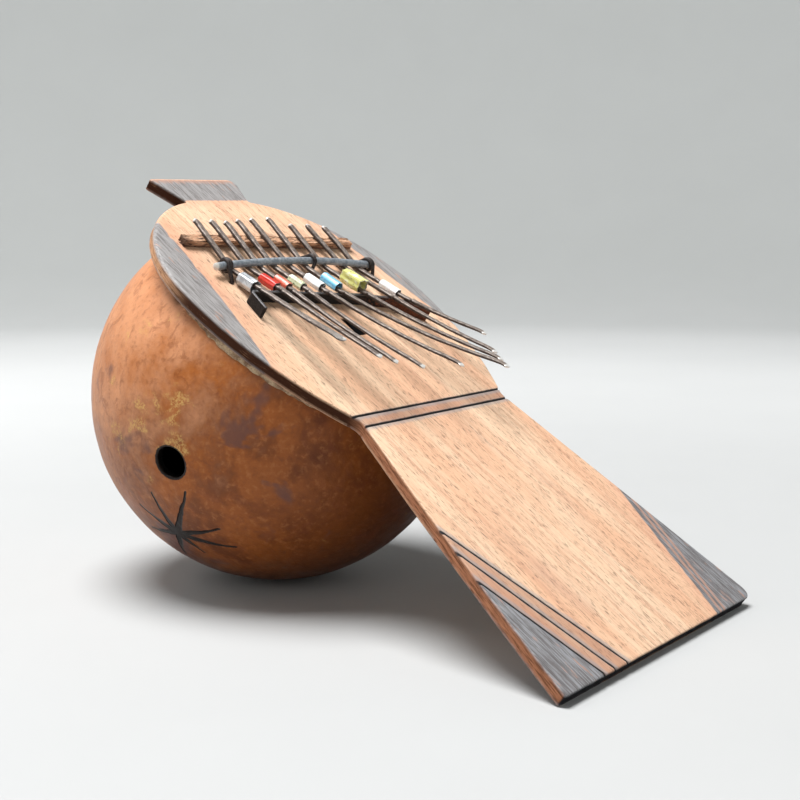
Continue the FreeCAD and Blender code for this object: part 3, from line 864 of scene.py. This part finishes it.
def flat_face(outline, normals, holes, lines):
    """The board's face in plan as (points, triangles), with the grooves' edges kept as lines."""
    points, constraints = [], []

    def add(row, closed):
        start, count = len(points), len(row)
        points.extend(tuple(p) for p in row)
        for i in range(count if closed else count - 1):
            constraints.append((start + i, start + (i + 1) % count))

    for loop in [outline] + holes:
        add(loop, closed=True)
    for start, end in lines:
        for row in groove_rows(start, end):
            add(row, closed=False)
    points.extend(tuple(p) for p in loose_points(outline, normals, holes, lines))

    cut = geometry.delaunay_2d_cdt([Vector(p) for p in points], constraints, [], 0, 1e-5)
    flat, triangles = np.array([tuple(p) for p in cut[0]]), np.array(cut[2])
    middles = flat[triangles].mean(1)
    wanted = inside_loop(middles, outline)
    for hole in holes:
        wanted &= ~inside_loop(middles, hole)
    used, triangles = np.unique(triangles[wanted], return_inverse=True)
    triangles = triangles.reshape(-1, 3)
    flat = flat[used]
    a, b, c = (flat[triangles[:, corner]] for corner in range(3))
    area = (b[:, 0] - a[:, 0]) * (c[:, 1] - a[:, 1]) - (b[:, 1] - a[:, 1]) * (c[:, 0] - a[:, 0])
    triangles[area < 0] = triangles[area < 0][:, ::-1]
    return flat, triangles


def board_heights(flat, to_edge, to_hole, lines):
    """The heights of the top and the underside at each point of the face."""
    x, y = flat[:, 0], flat[:, 1]
    shoulder = np.clip((y - 240) / 25, 0, 1) * np.clip((306 - y) / 12, 0, 1) * (x < 0)
    drop = rounded_drop(to_edge, 0.65 + 1.2 * shoulder) + rounded_drop(to_hole, 0.35)
    hollow = np.zeros(len(flat))
    for seed, (start, end) in enumerate(lines):
        depth = np.array([GROOVE_DEEP * (1 + 0.25 * wave((px + py) * 0.11, seed)) for px, py in flat])
        share = np.clip(1.12 - line_distance(flat, start, end) / GROOVE_HALF, 0, 1)
        hollow = np.maximum(hollow, depth * share)
    planed = np.array([0.05 + 0.05 * lumps((px * 1.4, py * 0.25, 0), 14.0)
                       + 0.03 * lumps((px, py * 0.3, 3), 4.0) for px, py in flat])
    top = THICK - drop - hollow - planed - dents(flat)
    return top, rounded_drop(to_edge, 0.6) + rounded_drop(to_hole, 0.3)


def rim_edges(triangles):
    """The triangles' sides that only one triangle has, in that triangle's direction."""
    sides = {(u, v) for t in triangles.tolist() for u, v in ((t[0], t[1]), (t[1], t[2]), (t[2], t[0]))}
    return [(u, v) for u, v in sorted(sides) if (v, u) not in sides]


def make_soundboard():
    edge, *openings = face_loops("soundboard", 0.0)
    outline, normals = board_edge(edge)
    holes = [fine_loop(loop, 0.7) for loop in openings]
    lines = groove_lines()
    flat, triangles = flat_face(outline, normals, holes, lines)
    to_edge = loop_distance(flat, outline)
    to_hole = np.minimum.reduce([loop_distance(flat, hole) for hole in holes])
    top, bottom = board_heights(flat, to_edge, to_hole, lines)

    count = len(flat)
    faces = [tuple(t) for t in triangles] + [tuple(t[::-1] + count) for t in triangles]
    rim = rim_edges(triangles)
    outward = np.zeros((count, 2))
    for u, v in rim:
        along = flat[v] - flat[u]
        outward[[u, v]] += np.array([along[1], -along[0]]) / np.linalg.norm(along)
    rim_vertices = sorted({u for side in rim for u in side})
    column, walls = {}, []
    for u in rim_vertices:
        out = outward[u] / max(np.linalg.norm(outward[u]), 1e-9)
        column[u] = [u]
        for level in WALL_LEVELS:
            z = bottom[u] + (top[u] - bottom[u]) * level
            rough = 0.22 * lumps((flat[u][0] * 0.45, flat[u][1] * 0.45, z * 2.0), 2.6, 4.0) - 0.18
            column[u].append(2 * count + len(walls))
            walls.append((*(flat[u] + out * (0.0 if to_hole[u] < 0.01 else rough)), z))
        column[u].append(u + count)
    for u, v in rim:
        for k in range(len(WALL_LEVELS) + 1):
            faces.append((column[u][k], column[u][k + 1], column[v][k + 1], column[v][k]))
    vertices = np.vstack([np.column_stack([flat, top]), np.column_stack([flat, bottom]), np.array(walls)])
    board = make_piece("soundboard_wood", vertices, faces, board_wood(),
                       replaces=["soundboard"], sharp=33.0)
    edge_value = np.zeros(count)
    edge_value[rim_vertices] = 0.6
    wall_value = np.repeat([2.0 if to_hole[u] < 0.01 else 1.0 for u in rim_vertices], len(WALL_LEVELS))
    point_values(board, "side", np.concatenate([edge_value, edge_value, wall_value]))
    return board


FACE_SPACING = 1.9                      # between the grid points of the board's face
WALL_LEVELS = (0.82, 0.62, 0.40, 0.2)   # heights of the rows of points on the board's side, as shares
DENTS = ((-60.5, 262.0, 9.0, 1.0, 0.5, 62.0), (-55.0, 281.5, 9.0, 1.3, 0.8, -36.0),
         (-52.5, 285.5, 5.0, 0.9, 0.6, -50.0), (-70.5, 249.0, 5.0, 1.0, 0.5, 70.0),
         (-71.0, 240.0, 3.0, 0.7, 0.4, 80.0), (-66.0, 274.0, 2.6, 0.9, 0.5, 60.0),
         (-73.0, 221.0, 3.4, 0.8, 0.4, 85.0), (30.0, 60.0, 4.0, 0.5, 0.25, 88.0),
         (-20.0, 95.0, 6.0, 0.5, 0.25, 91.0), (12.0, 120.0, 7.0, 0.5, 0.25, 90.0),
         (70.0, 12.0, 0.9, 0.9, 0.5, 0.0))


def dents(flat):
    """Small knocks and scratches in the top face: each is (x, y, half length, half width, depth, angle)."""
    total = np.zeros(len(flat))
    for x, y, long, wide, deep, angle in DENTS:
        turn = math.radians(angle)
        along = (flat[:, 0] - x) * math.cos(turn) + (flat[:, 1] - y) * math.sin(turn)
        across = (flat[:, 1] - y) * math.cos(turn) - (flat[:, 0] - x) * math.sin(turn)
        total += deep * np.exp(-(along / long) ** 2 - (across / wide) ** 2)
    return total


# ---- gourd and glue ----
SOUND_HOLE = MOUNTS["sound_hole"]
HOLE_RADIUS = SOUND_HOLE["dims"]["r_mm"]
HOLE_AXIS = unit(np.array(SOUND_HOLE["axis"], float))
WALL = SOUND_HOLE["dims"]["length_mm"]
BOARD_CLEARANCE = 0.02          # the gourd is cut off this far under the board
SUNKEN_SKIN = (188.0, 38.0)     # azimuth and elevation of the wrinkled hollow near the board, degrees


def gourd_ball():
    """The gourd's centre, in metres in the row's frame, and its radius in millimetres."""
    low, high = (np.array(corner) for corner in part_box("gourd_resonator"))
    radius = (high[1] - low[1]) / 2
    return np.array([high[0] - radius, (low[1] + high[1]) / 2, low[2] + radius]), radius * 1000


def make_gourd():
    centre, radius = gourd_ball()
    middle = to_board([centre])[0]
    axis = direction_to_board(HOLE_AXIS)
    side = unit(np.cross(axis, [0.0, 0.0, 1.0]))
    lift = np.cross(side, axis)
    start = math.asin(HOLE_RADIUS / radius)
    sunken = direction_to_board(direction_at(*SUNKEN_SKIN))
    around = 220
    outer = [start + (math.pi - start - 0.004) * (i / 150.0) for i in range(151)]
    inner = [start + (math.pi - start - 0.004) * (i / 44.0) for i in range(45)]
    rim = 0.9
    profile = [(angle, radius - WALL + 0.2, 0.0) for angle in reversed(inner)]
    profile += [(start, radius - WALL / 2, 0.0), (start, radius - rim, 0.0),
                (start + 0.003, radius - rim * 0.35, 0.6)]
    profile += [(angle + 0.009 * (1 - i / 150.0), radius, 1.0) for i, angle in enumerate(outer)]
    points = []
    for angle, reach, shape in profile:
        for step in range(around):
            turn = 2 * math.pi * step / around
            out = math.cos(angle) * axis + math.sin(angle) * (math.cos(turn) * side + math.sin(turn) * lift)
            uneven = 0.34 * lumps(out, 0.42) + 0.14 * lumps(out, 0.13, 3) + 0.05 * lumps(out, 0.05, 6) + 0.42
            near = math.exp(-(np.linalg.norm(out - sunken) / 0.20) ** 2)
            uneven += near * (1.5 + 1.1 * lumps(out, 0.07, 9))
            points.append(middle + out * (reach - shape * uneven))
    faces = skin_faces(len(profile), around)
    mesh = bpy.data.meshes.new("gourd_cut")
    mesh.from_pydata([tuple(p) for p in points], [], faces)
    build = bmesh.new()
    build.from_mesh(mesh)
    bmesh.ops.recalc_face_normals(build, faces=build.faces)
    bmesh.ops.bisect_plane(build, geom=build.verts[:] + build.edges[:] + build.faces[:], dist=1e-6,
                           plane_co=(0, 0, -BOARD_CLEARANCE), plane_no=(0, 0, 1), clear_outer=True)
    open_edges = [edge for edge in build.edges if edge.is_boundary]
    bmesh.ops.triangle_fill(build, use_beauty=True, edges=open_edges)
    build.verts.index_update()
    points = np.array([vertex.co for vertex in build.verts])
    faces = [[vertex.index for vertex in face.verts] for face in build.faces]
    build.free()
    return make_piece("gourd_shell", points, faces, gourd_skin(centre, radius, HOLE_AXIS),
                      replaces=["gourd_resonator"], sharp=60.0)


def make_glue():
    """A lumpy bead in the corner between gourd and board."""
    centre, radius = gourd_ball()
    middle = to_board([centre])[0]
    bead = BOARD["glue_bead"]
    reach = (bead[:, 0].max() - bead[:, 0].min()) / 2
    deep = -bead[:, 2].min()
    around = 420
    rings = []
    for step in range(around):
        turn = 2 * math.pi * step / around
        out = np.array([math.cos(turn), math.sin(turn), 0.0])
        full = 0.62 + 0.55 * lumps(out, 0.22) + 0.35 * lumps(out, 0.07, 2) + 0.2 * lumps(out, 0.03, 5)
        full = min(max(full, 0.12), 1.0)
        low = min(deep * (0.45 + 0.55 * full) + 0.2 * lumps(out, 0.05, 8), deep)
        wall_top = math.sqrt(radius ** 2 - middle[2] ** 2)
        wall_low = math.sqrt(radius ** 2 - (middle[2] + low) ** 2)
        edge = wall_top + (reach - wall_top) * full
        section = ((wall_top - 0.8, -0.01), (edge, -0.01), (edge, -0.25 - 0.3 * full),
                   ((edge + wall_low) / 2 + 0.35 * full, -low * 0.62), (wall_low + 0.25, -low),
                   (wall_low - 0.8, -low))
        rings.append([middle * [1, 1, 0] + out * r + [0, 0, z] for r, z in section])
    points = np.array(rings).reshape(-1, 3)
    n = len(rings[0])
    faces = []
    for ring in range(around):
        for k in range(n):
            a, b = ring * n + k, ring * n + (k + 1) % n
            c, d = ((ring + 1) % around) * n + (k + 1) % n, ((ring + 1) % around) * n + k
            faces.append((a, b, c, d))
    return make_piece("glue_line", points, faces, glue_skin(), replaces=["glue_bead"], sharp=70.0)


# ---- bridges ----
def remeshed(node, voxel, shift):
    """Points and faces of a CAD node, remeshed finely, softened, and shifted along its normals."""
    mesh = bpy.data.meshes.new(node + "_fine")
    polygons = [tuple(polygon.vertices) for polygon in NODES[node].data.polygons]
    mesh.from_pydata([tuple(p) for p in BOARD[node]], [], polygons)
    build = bmesh.new()
    build.from_mesh(mesh)
    bmesh.ops.remove_doubles(build, verts=build.verts, dist=0.001)
    build.to_mesh(mesh)
    build.free()
    holder = bpy.data.objects.new(node + "_fine", mesh)
    bpy.context.scene.collection.objects.link(holder)
    remesh = holder.modifiers.new("remesh", "REMESH")
    remesh.mode = "VOXEL"
    remesh.voxel_size = voxel
    relax = holder.modifiers.new("relax", "SMOOTH")
    relax.iterations = 1
    depsgraph = bpy.context.evaluated_depsgraph_get()
    done = bpy.data.meshes.new_from_object(holder.evaluated_get(depsgraph))
    points = np.array([vertex.co for vertex in done.vertices])
    normals = np.array([vertex.normal for vertex in done.vertices])
    faces = [tuple(polygon.vertices) for polygon in done.polygons]
    bpy.data.objects.remove(holder)
    moved = np.array([p + n * shift(p) for p, n in zip(points, normals)])
    return moved, faces


def make_rear_bridge():
    low_z, high_z = BOARD["rear_bridge"][:, 2].min(), BOARD["rear_bridge"][:, 2].max()
    left, right = BOARD["rear_bridge"][:, 0].min(), BOARD["rear_bridge"][:, 0].max()

    def split(point):
        """Splits and torn fibres along the strip, more of them towards its ends."""
        x, y, z = point
        ridges = 0.34 * lumps((x * 0.10, y, z), 0.9) + 0.18 * lumps((x * 0.3, y, z), 0.5, 3)
        torn = max(0.0, 1 - (x - left) / 9) + max(0.0, 1 - (right - x) / 4)
        return ridges - 0.22 + torn * (0.45 * lumps((x * 0.5, y * 1.3, z * 1.3), 0.8, 7) - 0.35)

    points, faces = remeshed("rear_bridge", 0.34, split)
    points[:, 2] = np.clip(points[:, 2], low_z, high_z)
    return make_piece("rear_bridge_strip", points, faces, rough_wood(),
                      replaces=["rear_bridge"], sharp=55.0)


def make_front_bridge():
    low_z = BOARD["front_bridge"][:, 2].min()

    def pitted(point):
        return 0.07 * lumps(point, 2.2) + 0.05 * lumps(point, 0.9, 4) - 0.06

    points, faces = remeshed("front_bridge", 0.30, pitted)
    points[:, 2] = np.maximum(points[:, 2], low_z)
    return make_piece("front_bridge_iron", points, faces, hoop_iron(),
                      replaces=["front_bridge"], sharp=50.0)


# ---- bar and ties ----
def bar_line(count):
    span = BOARD["pressure_bar"][:, 0]
    values = np.linspace(span.min() + 0.4, span.max() - 0.4, count)
    return centre_line("pressure_bar", 0, values)


BAR_RADIUS = np.ptp(slice_node("pressure_bar", 0, 0.0)[:, 2]) / 2 * 1.12    # a little over its plain solid's
TIE_RADIUS = 0.95


def make_bar():
    path = bar_line(90)
    path[:, 1] += [0.16 * wave(i * 0.09, 3) for i in range(len(path))]
    path[:, 2] += [0.10 * wave(i * 0.07, 9) for i in range(len(path))]
    points, faces = round_rod(path, BAR_RADIUS, around=20, rough=0.05, seed=2.0, blunt=0.45)
    bar = make_piece("pressure_bar_rod", points, faces, galvanised(),
                     replaces=["pressure_bar"])
    along = points[:, 0]
    cut = np.clip((along.min() + 1.5 - along) / 0.7, 0, 1) + np.clip((along - along.max() + 0.5) / 0.4, 0, 1)
    point_values(bar, "cut", np.clip(cut, 0, 1))
    return bar


def tie_route(node):
    """Where a tie's holes lie and the bar's axis between them."""
    points = BOARD[node]
    low = points[points[:, 2] < -0.5]
    y_rear, y_front = low[:, 1].max(), low[:, 1].min()
    half_hole = 1.0
    rear = np.array([low[low[:, 1] > y_rear - 1.2][:, 0].mean(), y_rear - half_hole, 0])
    front = np.array([low[low[:, 1] < y_front + 1.2][:, 0].mean(), y_front + half_hole, 0])
    line = bar_line(200)
    x = (rear[0] + front[0]) / 2
    return rear, front, line[np.argmin(np.abs(line[:, 0] - x))]


def make_tie(node, turns, seed):
    """A wire up through its rear hole, over the bar and down its front hole, its feet bent underneath."""
    rear, front, bar = tie_route(node)
    hug = BAR_RADIUS + TIE_RADIUS
    side = 1 if rear[0] <= front[0] else -1
    below = -1.1
    route = [rear + [0.2, -3.6, below], rear + [0, -1.2, below - 0.05], rear + [0, -0.2, 0.8],
             rear + [0, 0.0, 3.4], rear + [0, 0.2, THICK + 0.3]]
    first, last = math.radians(20), math.radians(160) + turns * 2 * math.pi
    steps = 6 + int(turns * 12)
    pitch = 2.0 * turns
    for i in range(steps + 1):
        share = i / steps
        angle = first + (last - first) * share
        offset = (share - 0.5) * pitch * side
        loose = 1.06 + 0.1 * wave(i, seed)
        route.append(bar + [offset, math.cos(angle) * hug * loose, math.sin(angle) * hug])
    route += [front + [0, -0.2, THICK + 0.3], front + [0, 0.0, 3.4], front + [0, 0.2, 0.8],
              front + [0, 1.2, below - 0.05], front + [-0.2, 3.6, below]]
    path = smooth_curve(route, 150 + int(turns * 90))
    points, faces = round_rod(path, TIE_RADIUS, around=12, rough=0.07, seed=seed)
    return make_piece(node + "_wire", points, faces, BLACK_WIRE, replaces=[node])


# ---- tines ----
# A tine's section, as shares of half its width and thickness.
TINE_SECTION = ((-1.0, -0.55), (-0.82, -1.0), (0.82, -1.0), (1.0, -0.55), (1.0, 0.5),
                (0.78, 1.0), (0.3, 1.08), (-0.3, 1.08), (-0.78, 1.0), (-1.0, 0.5))
TINE_STATIONS = 150
CUT_MARGIN = 0.02           # a node is sliced this far inside its ends


def tine_line(number):
    """A tine's stations from rear end to tip: (centre points, distances along, widths)."""
    line, widths = [], []
    for node in ("tine_%d_clamped" % number, "tine_%d_free" % number):
        span = BOARD[node][:, 1]
        cuts = [slice_node(node, 1, value)
                for value in np.linspace(span.max() - CUT_MARGIN, span.min() + CUT_MARGIN, 60)]
        line += [(cut.min(0) + cut.max(0)) / 2 for cut in cuts]
        widths += [np.ptp(cut[:, 0]) for cut in cuts]
    line = np.array(line)
    widths = np.maximum(widths, np.percentile(widths, 30))
    lengths = np.concatenate([[0], np.cumsum(np.linalg.norm(np.diff(line, axis=0), axis=1))])
    places = np.linspace(0, lengths[-1], TINE_STATIONS)
    path = np.stack([np.interp(places, lengths, line[:, k]) for k in range(3)], 1)
    for _ in range(5):
        path[1:-1] = (path[:-2] + 2 * path[1:-1] + path[2:]) / 4
    return path, places, np.interp(places, lengths, widths)


def across_and_up(ahead):
    """The level direction across a line, towards the right, and the one square to both, upwards."""
    side = unit(np.cross(ahead, [0.0, 0.0, 1.0]))
    side = -side if side[0] < 0 else side
    lift = np.cross(side, ahead)
    return side, -lift if lift[2] < 0 else lift


def tine_shine(number, to_tip, from_rear):
    """How bright a tine is worn: at its tip, at its cut rear end and, on the first, along its last part."""
    shine = 0.95 * math.exp(-(to_tip / 2.6) ** 2) + 0.85 * math.exp(-(from_rear / 1.3) ** 2)
    if number == 1 and to_tip < 26:
        shine = max(shine, 0.50 * (1 - to_tip / 40))
    return shine


def make_tine(number):
    """A hammered wire, thicker under the bar, flatter in front of it and spread at its tip."""
    hinge = JOINTS["tine_%d_flex" % number]
    hinge_y = to_board([hinge["pos_m"]])[0][1]
    path, places, widths = tine_line(number)
    ahead = directions_along(path)
    last = TINE_STATIONS - 1
    points, bright, painted_shade_flank = [], [], []
    for index in range(-1, TINE_STATIONS + 1):
        at = min(max(index, 0), last)
        end_cap = index in (-1, TINE_STATIONS)
        side, lift = across_and_up(ahead[at])
        to_tip, from_rear = places[-1] - places[at], places[at]
        plan_slope = abs(ahead[at][1]) / math.hypot(ahead[at][0], ahead[at][1])
        free_share = min(max((hinge_y - path[at][1]) / 25.0, 0.0), 1.0)
        tip_share = math.exp(-(to_tip / 5.0) ** 2)
        spread = 1.22 - 0.16 * free_share + 0.07 * wave(from_rear * 0.16, number)
        half_wide = widths[at] / 2 * plan_slope * spread * (1 + 0.10 * tip_share)
        half_thick = (1.6 - 0.35 * free_share) / 2 * (1 + 0.08 * wave(from_rear * 0.22, number + 20))
        half_thick *= 1 - 0.28 * tip_share
        twist = 0.10 * wave(from_rear * 0.05, number + 40)
        middle = path[at] + side * 0.07 * wave(from_rear * 0.05, number + 60)
        shrink = 0.72 if end_cap else 1.0
        if index in (0, last):
            shrink = 0.94
            middle = middle + ahead[at] * (0.22 if index == 0 else -0.22)
        shine = tine_shine(number, to_tip, from_rear)
        for u, v in TINE_SECTION:
            dent = 1 + 0.05 * lumps((u * 2, v * 2, from_rear * 0.35), 1.0, number)
            x, z = u * half_wide * shrink * dent, v * half_thick * shrink * dent
            x, z = x * math.cos(twist) - z * math.sin(twist), x * math.sin(twist) + z * math.cos(twist)
            points.append(middle + side * x + lift * z)
            bright.append(shine if v > 0 or end_cap else shine * 0.5)
            # The sides and underside get painted shade; the top does not.
            painted_shade_flank.append(0.0 if v > 0.9 else 1.0)
    faces = skin_faces(TINE_STATIONS + 2, len(TINE_SECTION))
    tine = make_piece("tine_%d" % number, points, faces, TINE_STEEL, ride=False,
                      replaces=["tine_%d_clamped" % number, "tine_%d_free" % number], sharp=45.0)
    point_values(tine, "bright", bright)
    point_values(tine, "painted_shade_flank", painted_shade_flank)
    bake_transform(tine)
    return tine


# ---- buzzer sleeves ----
SHEET = 0.32                    # thickness of the tin
SHEET_ROWS, SHEET_COLUMNS = 22, 64
LAP = 0.75                      # how far the sheet's ends lap, as an angle in radians


def sleeve_place(number):
    """A sleeve's middle, axis, length and radius in the board's frame."""
    axis = unit(direction_to_board(JOINTS["sleeve_%d_slide" % number]["axis"]))
    points = BOARD["buzzer_sleeve_%d" % number]
    middle = (points.min(0) + points.max(0)) / 2
    along = (points - middle) @ axis
    middle = middle + axis * (along.min() + along.max()) / 2
    apart = points - middle - np.outer((points - middle) @ axis, axis)
    return middle, axis, np.ptp(along), np.linalg.norm(apart, axis=1).max()


def sheet_faces():
    """The faces of a sheet of two layers of points, closed along its four edges."""
    layer_size = SHEET_ROWS * SHEET_COLUMNS
    rows, columns = range(SHEET_ROWS - 1), range(SHEET_COLUMNS - 1)
    faces = []
    for start in (0, layer_size):
        for row in rows:
            for column in columns:
                a = start + row * SHEET_COLUMNS + column
                faces.append((a, a + 1, a + SHEET_COLUMNS + 1, a + SHEET_COLUMNS))
    for row in rows:
        for column in (0, SHEET_COLUMNS - 1):
            a = row * SHEET_COLUMNS + column
            faces.append((a, a + SHEET_COLUMNS, a + SHEET_COLUMNS + layer_size, a + layer_size))
    for column in columns:
        for row in (0, SHEET_ROWS - 1):
            a = row * SHEET_COLUMNS + column
            faces.append((a, a + 1, a + 1 + layer_size, a + layer_size))
    return faces


def make_sleeve(number, material, swell, crumple):
    """A sleeve of sheet tin rolled round its tine: arched over the top, flatter below, its ends lapped."""
    middle, axis, length, radius = sleeve_place(number)
    radius *= swell
    side = unit(np.cross(axis, [0.0, 0.0, 1.0]))
    lift = np.cross(side, axis)
    if lift[2] < 0:
        side, lift = -side, -lift
    seam = math.radians(-120 + number * 9)
    points, shine = [], []
    for layer in (0, 1):
        for row in range(SHEET_ROWS):
            share = row / (SHEET_ROWS - 1)
            for column in range(SHEET_COLUMNS):
                rolled = (2 * math.pi + LAP) * column / (SHEET_COLUMNS - 1)
                angle = seam + rolled
                x, z = math.cos(angle), math.sin(angle)
                facet = 1 - (0.05 + crumple * 0.2) * math.sin(angle * 3.5 + number) ** 2
                facet *= 1 + crumple * 1.3 * (1 / max(abs(x), abs(z)) - 1)
                lap = SHEET * 1.25 * max(0.0, 1 - rolled / LAP)
                dent = crumple * (lumps((x * 1.6, z * 1.6, share * 2.4 + number), 1.0, number) - 0.5)
                reach = radius * facet - layer * SHEET - lap + dent
                skew = crumple * 1.5 * wave(angle * 0.8, number + share)
                offset = (share - 0.5) * (length - 0.1) + skew * (1 if share in (0.0, 1.0) else 0.6)
                offset = max(-length / 2, min(length / 2, offset))
                flatter = 0.9 if z < 0 else 1.0
                points.append(middle + axis * offset + side * x * reach + lift * z * flatter * reach)
                near_end = max(0.0, 1 - min(share, 1 - share) * length)
                shine.append(near_end * 0.7 + 0.5 * layer)
    sleeve = make_piece("sleeve_%d_tin" % number, points, sheet_faces(), material,
                        body="sleeve_%d" % number, replaces=["buzzer_sleeve_%d" % number], sharp=38.0)
    point_values(sleeve, "bright", shine)
    return sleeve


# ---- stage, light and camera ----
VIEW_TURN = -54.754         # degrees; 0 looks along +Y
VIEW_RISE = 7.607
VIEW_LENS = 67.789
VIEW_PLACE = Vector((-0.5609, -0.4087, 0.1853))


def stage_surface():
    paint = Paint("stage")
    place = paint.node("ShaderNodeTexCoord", output="Object")
    paper = paint.noise(place, 9.0, 3.0)
    # Painted light: the floor is paler farther out, from 0.25 m to 1.05 m, standing in for the light on the far
    # floor, and a little darker again up the wall.
    near = paint.mix(paper, rgb(182, 183, 183), rgb(186, 187, 187))
    far = paint.mix(paper, rgb(212, 213, 213), rgb(216, 217, 217))
    wall = paint.mix(paper, rgb(188, 190, 189), rgb(192, 194, 193))
    reach = paint.vector("LENGTH", place, output="Value")
    colour = paint.cover(near, far, reach, 0.25, 1.05)
    colour = paint.cover(colour, wall, reach, 1.3, 1.9)
    return paint.finish(colour, 0.8, Specular_IOR_Level=0.12)


def make_stage():
    """A round pale floor that turns up into a wall all about."""
    profile = [(0.0, 0.0), (0.6, 0.0), (1.2, 0.0), (1.55, 0.0)]
    profile += [(1.55 + 0.55 * math.sin(turn), 0.55 - 0.55 * math.cos(turn))
                for turn in np.linspace(0.1, 1.45, 14)]
    profile += [(2.12, 1.2), (2.14, 2.4)]
    around = 128
    points, faces = [], []
    for reach, height in profile[1:]:
        for step in range(around):
            turn = 2 * math.pi * step / around
            points.append((reach * math.cos(turn), reach * math.sin(turn), height))
    points.append((0.0, 0.0, 0.0))
    for ring in range(len(profile) - 2):
        for step in range(around):
            a, b = ring * around + step, ring * around + (step + 1) % around
            faces.append((a, a + around, b + around, b))
    faces += [(len(points) - 1, step, (step + 1) % around) for step in range(around)]
    mesh = bpy.data.meshes.new("stage_dish")
    mesh.from_pydata(points, [], faces)
    mesh.shade_smooth()
    mesh.materials.append(stage_surface())
    stage = bpy.data.objects.new("stage_dish", mesh)
    bpy.context.scene.collection.objects.link(stage)


def area_light(name, place, target, size, power):
    light = bpy.data.lights.new(name, "AREA")
    light.shape = "DISK"
    light.size = size
    light.energy = power
    lamp = bpy.data.objects.new(name, light)
    lamp.location = place
    lamp.rotation_euler = (Vector(target) - Vector(place)).to_track_quat("-Z", "Y").to_euler()
    bpy.context.scene.collection.objects.link(lamp)


def make_lights():
    away = Vector((math.sin(math.radians(-VIEW_TURN)), math.cos(math.radians(VIEW_TURN)), 0.0))
    right = Vector((away.y, -away.x, 0.0))
    up = Vector((0.0, 0.0, 1.0))
    area_light("overhead", up * 2.0 - away * 0.05 - right * 0.42, (0, 0, 0.05), 1.2, 70.0)
    area_light("left_box", up * 1.0 - right * 1.1 + away * 0.15, (0, 0, 0.12), 0.6, 2.2)
    area_light("front_fill", up * 0.6 - away * 1.2 - right * 0.2, (0, 0, 0.08), 0.8, 1.2)
    world = bpy.data.worlds.new("studio")
    bpy.context.scene.world = world
    world.use_nodes = True
    world.node_tree.nodes["Background"].inputs["Color"].default_value = (0.95, 0.98, 1.0, 1.0)
    world.node_tree.nodes["Background"].inputs["Strength"].default_value = 0.055
    bpy.context.scene.view_settings.view_transform = "Standard"


def make_camera():
    camera = bpy.data.cameras.new("camera")
    camera.lens = VIEW_LENS
    camera.sensor_width = 36.0
    camera.clip_start = 0.01
    holder = bpy.data.objects.new("camera", camera)
    holder.location = VIEW_PLACE
    holder.rotation_euler = (math.radians(90.0 - VIEW_RISE), 0.0, math.radians(VIEW_TURN))
    bpy.context.scene.collection.objects.link(holder)
    bpy.context.scene.camera = holder


# ---- making it all ----
make_camera()
make_stage()
make_lights()
BLACK_WIRE = black_wire()
TINE_STEEL = tine_steel()
make_soundboard()
make_gourd()
make_glue()
make_rear_bridge()
make_front_bridge()
make_bar()
make_tie("tie_wire_left", 1, 1.0)
make_tie("tie_wire_middle", 0, 2.0)
make_tie("tie_wire_right", 1, 3.0)
for tine_number in range(1, 10):
    make_tine(tine_number)

WHITE = rgb(236, 238, 240)
SLEEVES = (     # tine, slot, main colour, second colour, marks, share of marks, metal, swell, crumple
    (1, "bare_tin", rgb(166, 170, 174), rgb(196, 200, 203), rgb(104, 106, 110), 0.03, 0.45, 1.32, 0.10),
    (2, "red_tin", rgb(196, 40, 28), rgb(206, 52, 36), rgb(150, 26, 20), 0.0, 0.0, 1.06, 0.14),
    (3, "coral_tin", rgb(214, 92, 66), rgb(222, 112, 88), rgb(170, 60, 44), 0.0, 0.0, 1.0, 0.14),
    (4, "green_tin", rgb(206, 214, 178), rgb(226, 226, 206), rgb(74, 108, 66), 0.13, 0.0, 1.0, 0.14),
    (5, "white_tin", WHITE, rgb(226, 230, 232), rgb(206, 208, 208), 0.0, 0.0, 1.0, 0.12),
    (6, "blue_tin", rgb(112, 188, 224), rgb(146, 206, 234), rgb(226, 238, 244), 0.05, 0.0, 1.04, 0.12),
    (7, "yellow_tin", rgb(214, 212, 128), rgb(230, 228, 186), rgb(110, 112, 76), 0.08, 0.0, 1.16, 0.42),
    (9, "white_tin", WHITE, rgb(228, 228, 226), rgb(224, 160, 148), 0.07, 0.0, 1.0, 0.12),
)
for number, tin_slot, main, second, marks, share, metal, swell, crumple in SLEEVES:
    tin = printed_tin("tin_%d" % number, main, second, marks, share, metal)
    make_sleeve(number, tin, swell, crumple)
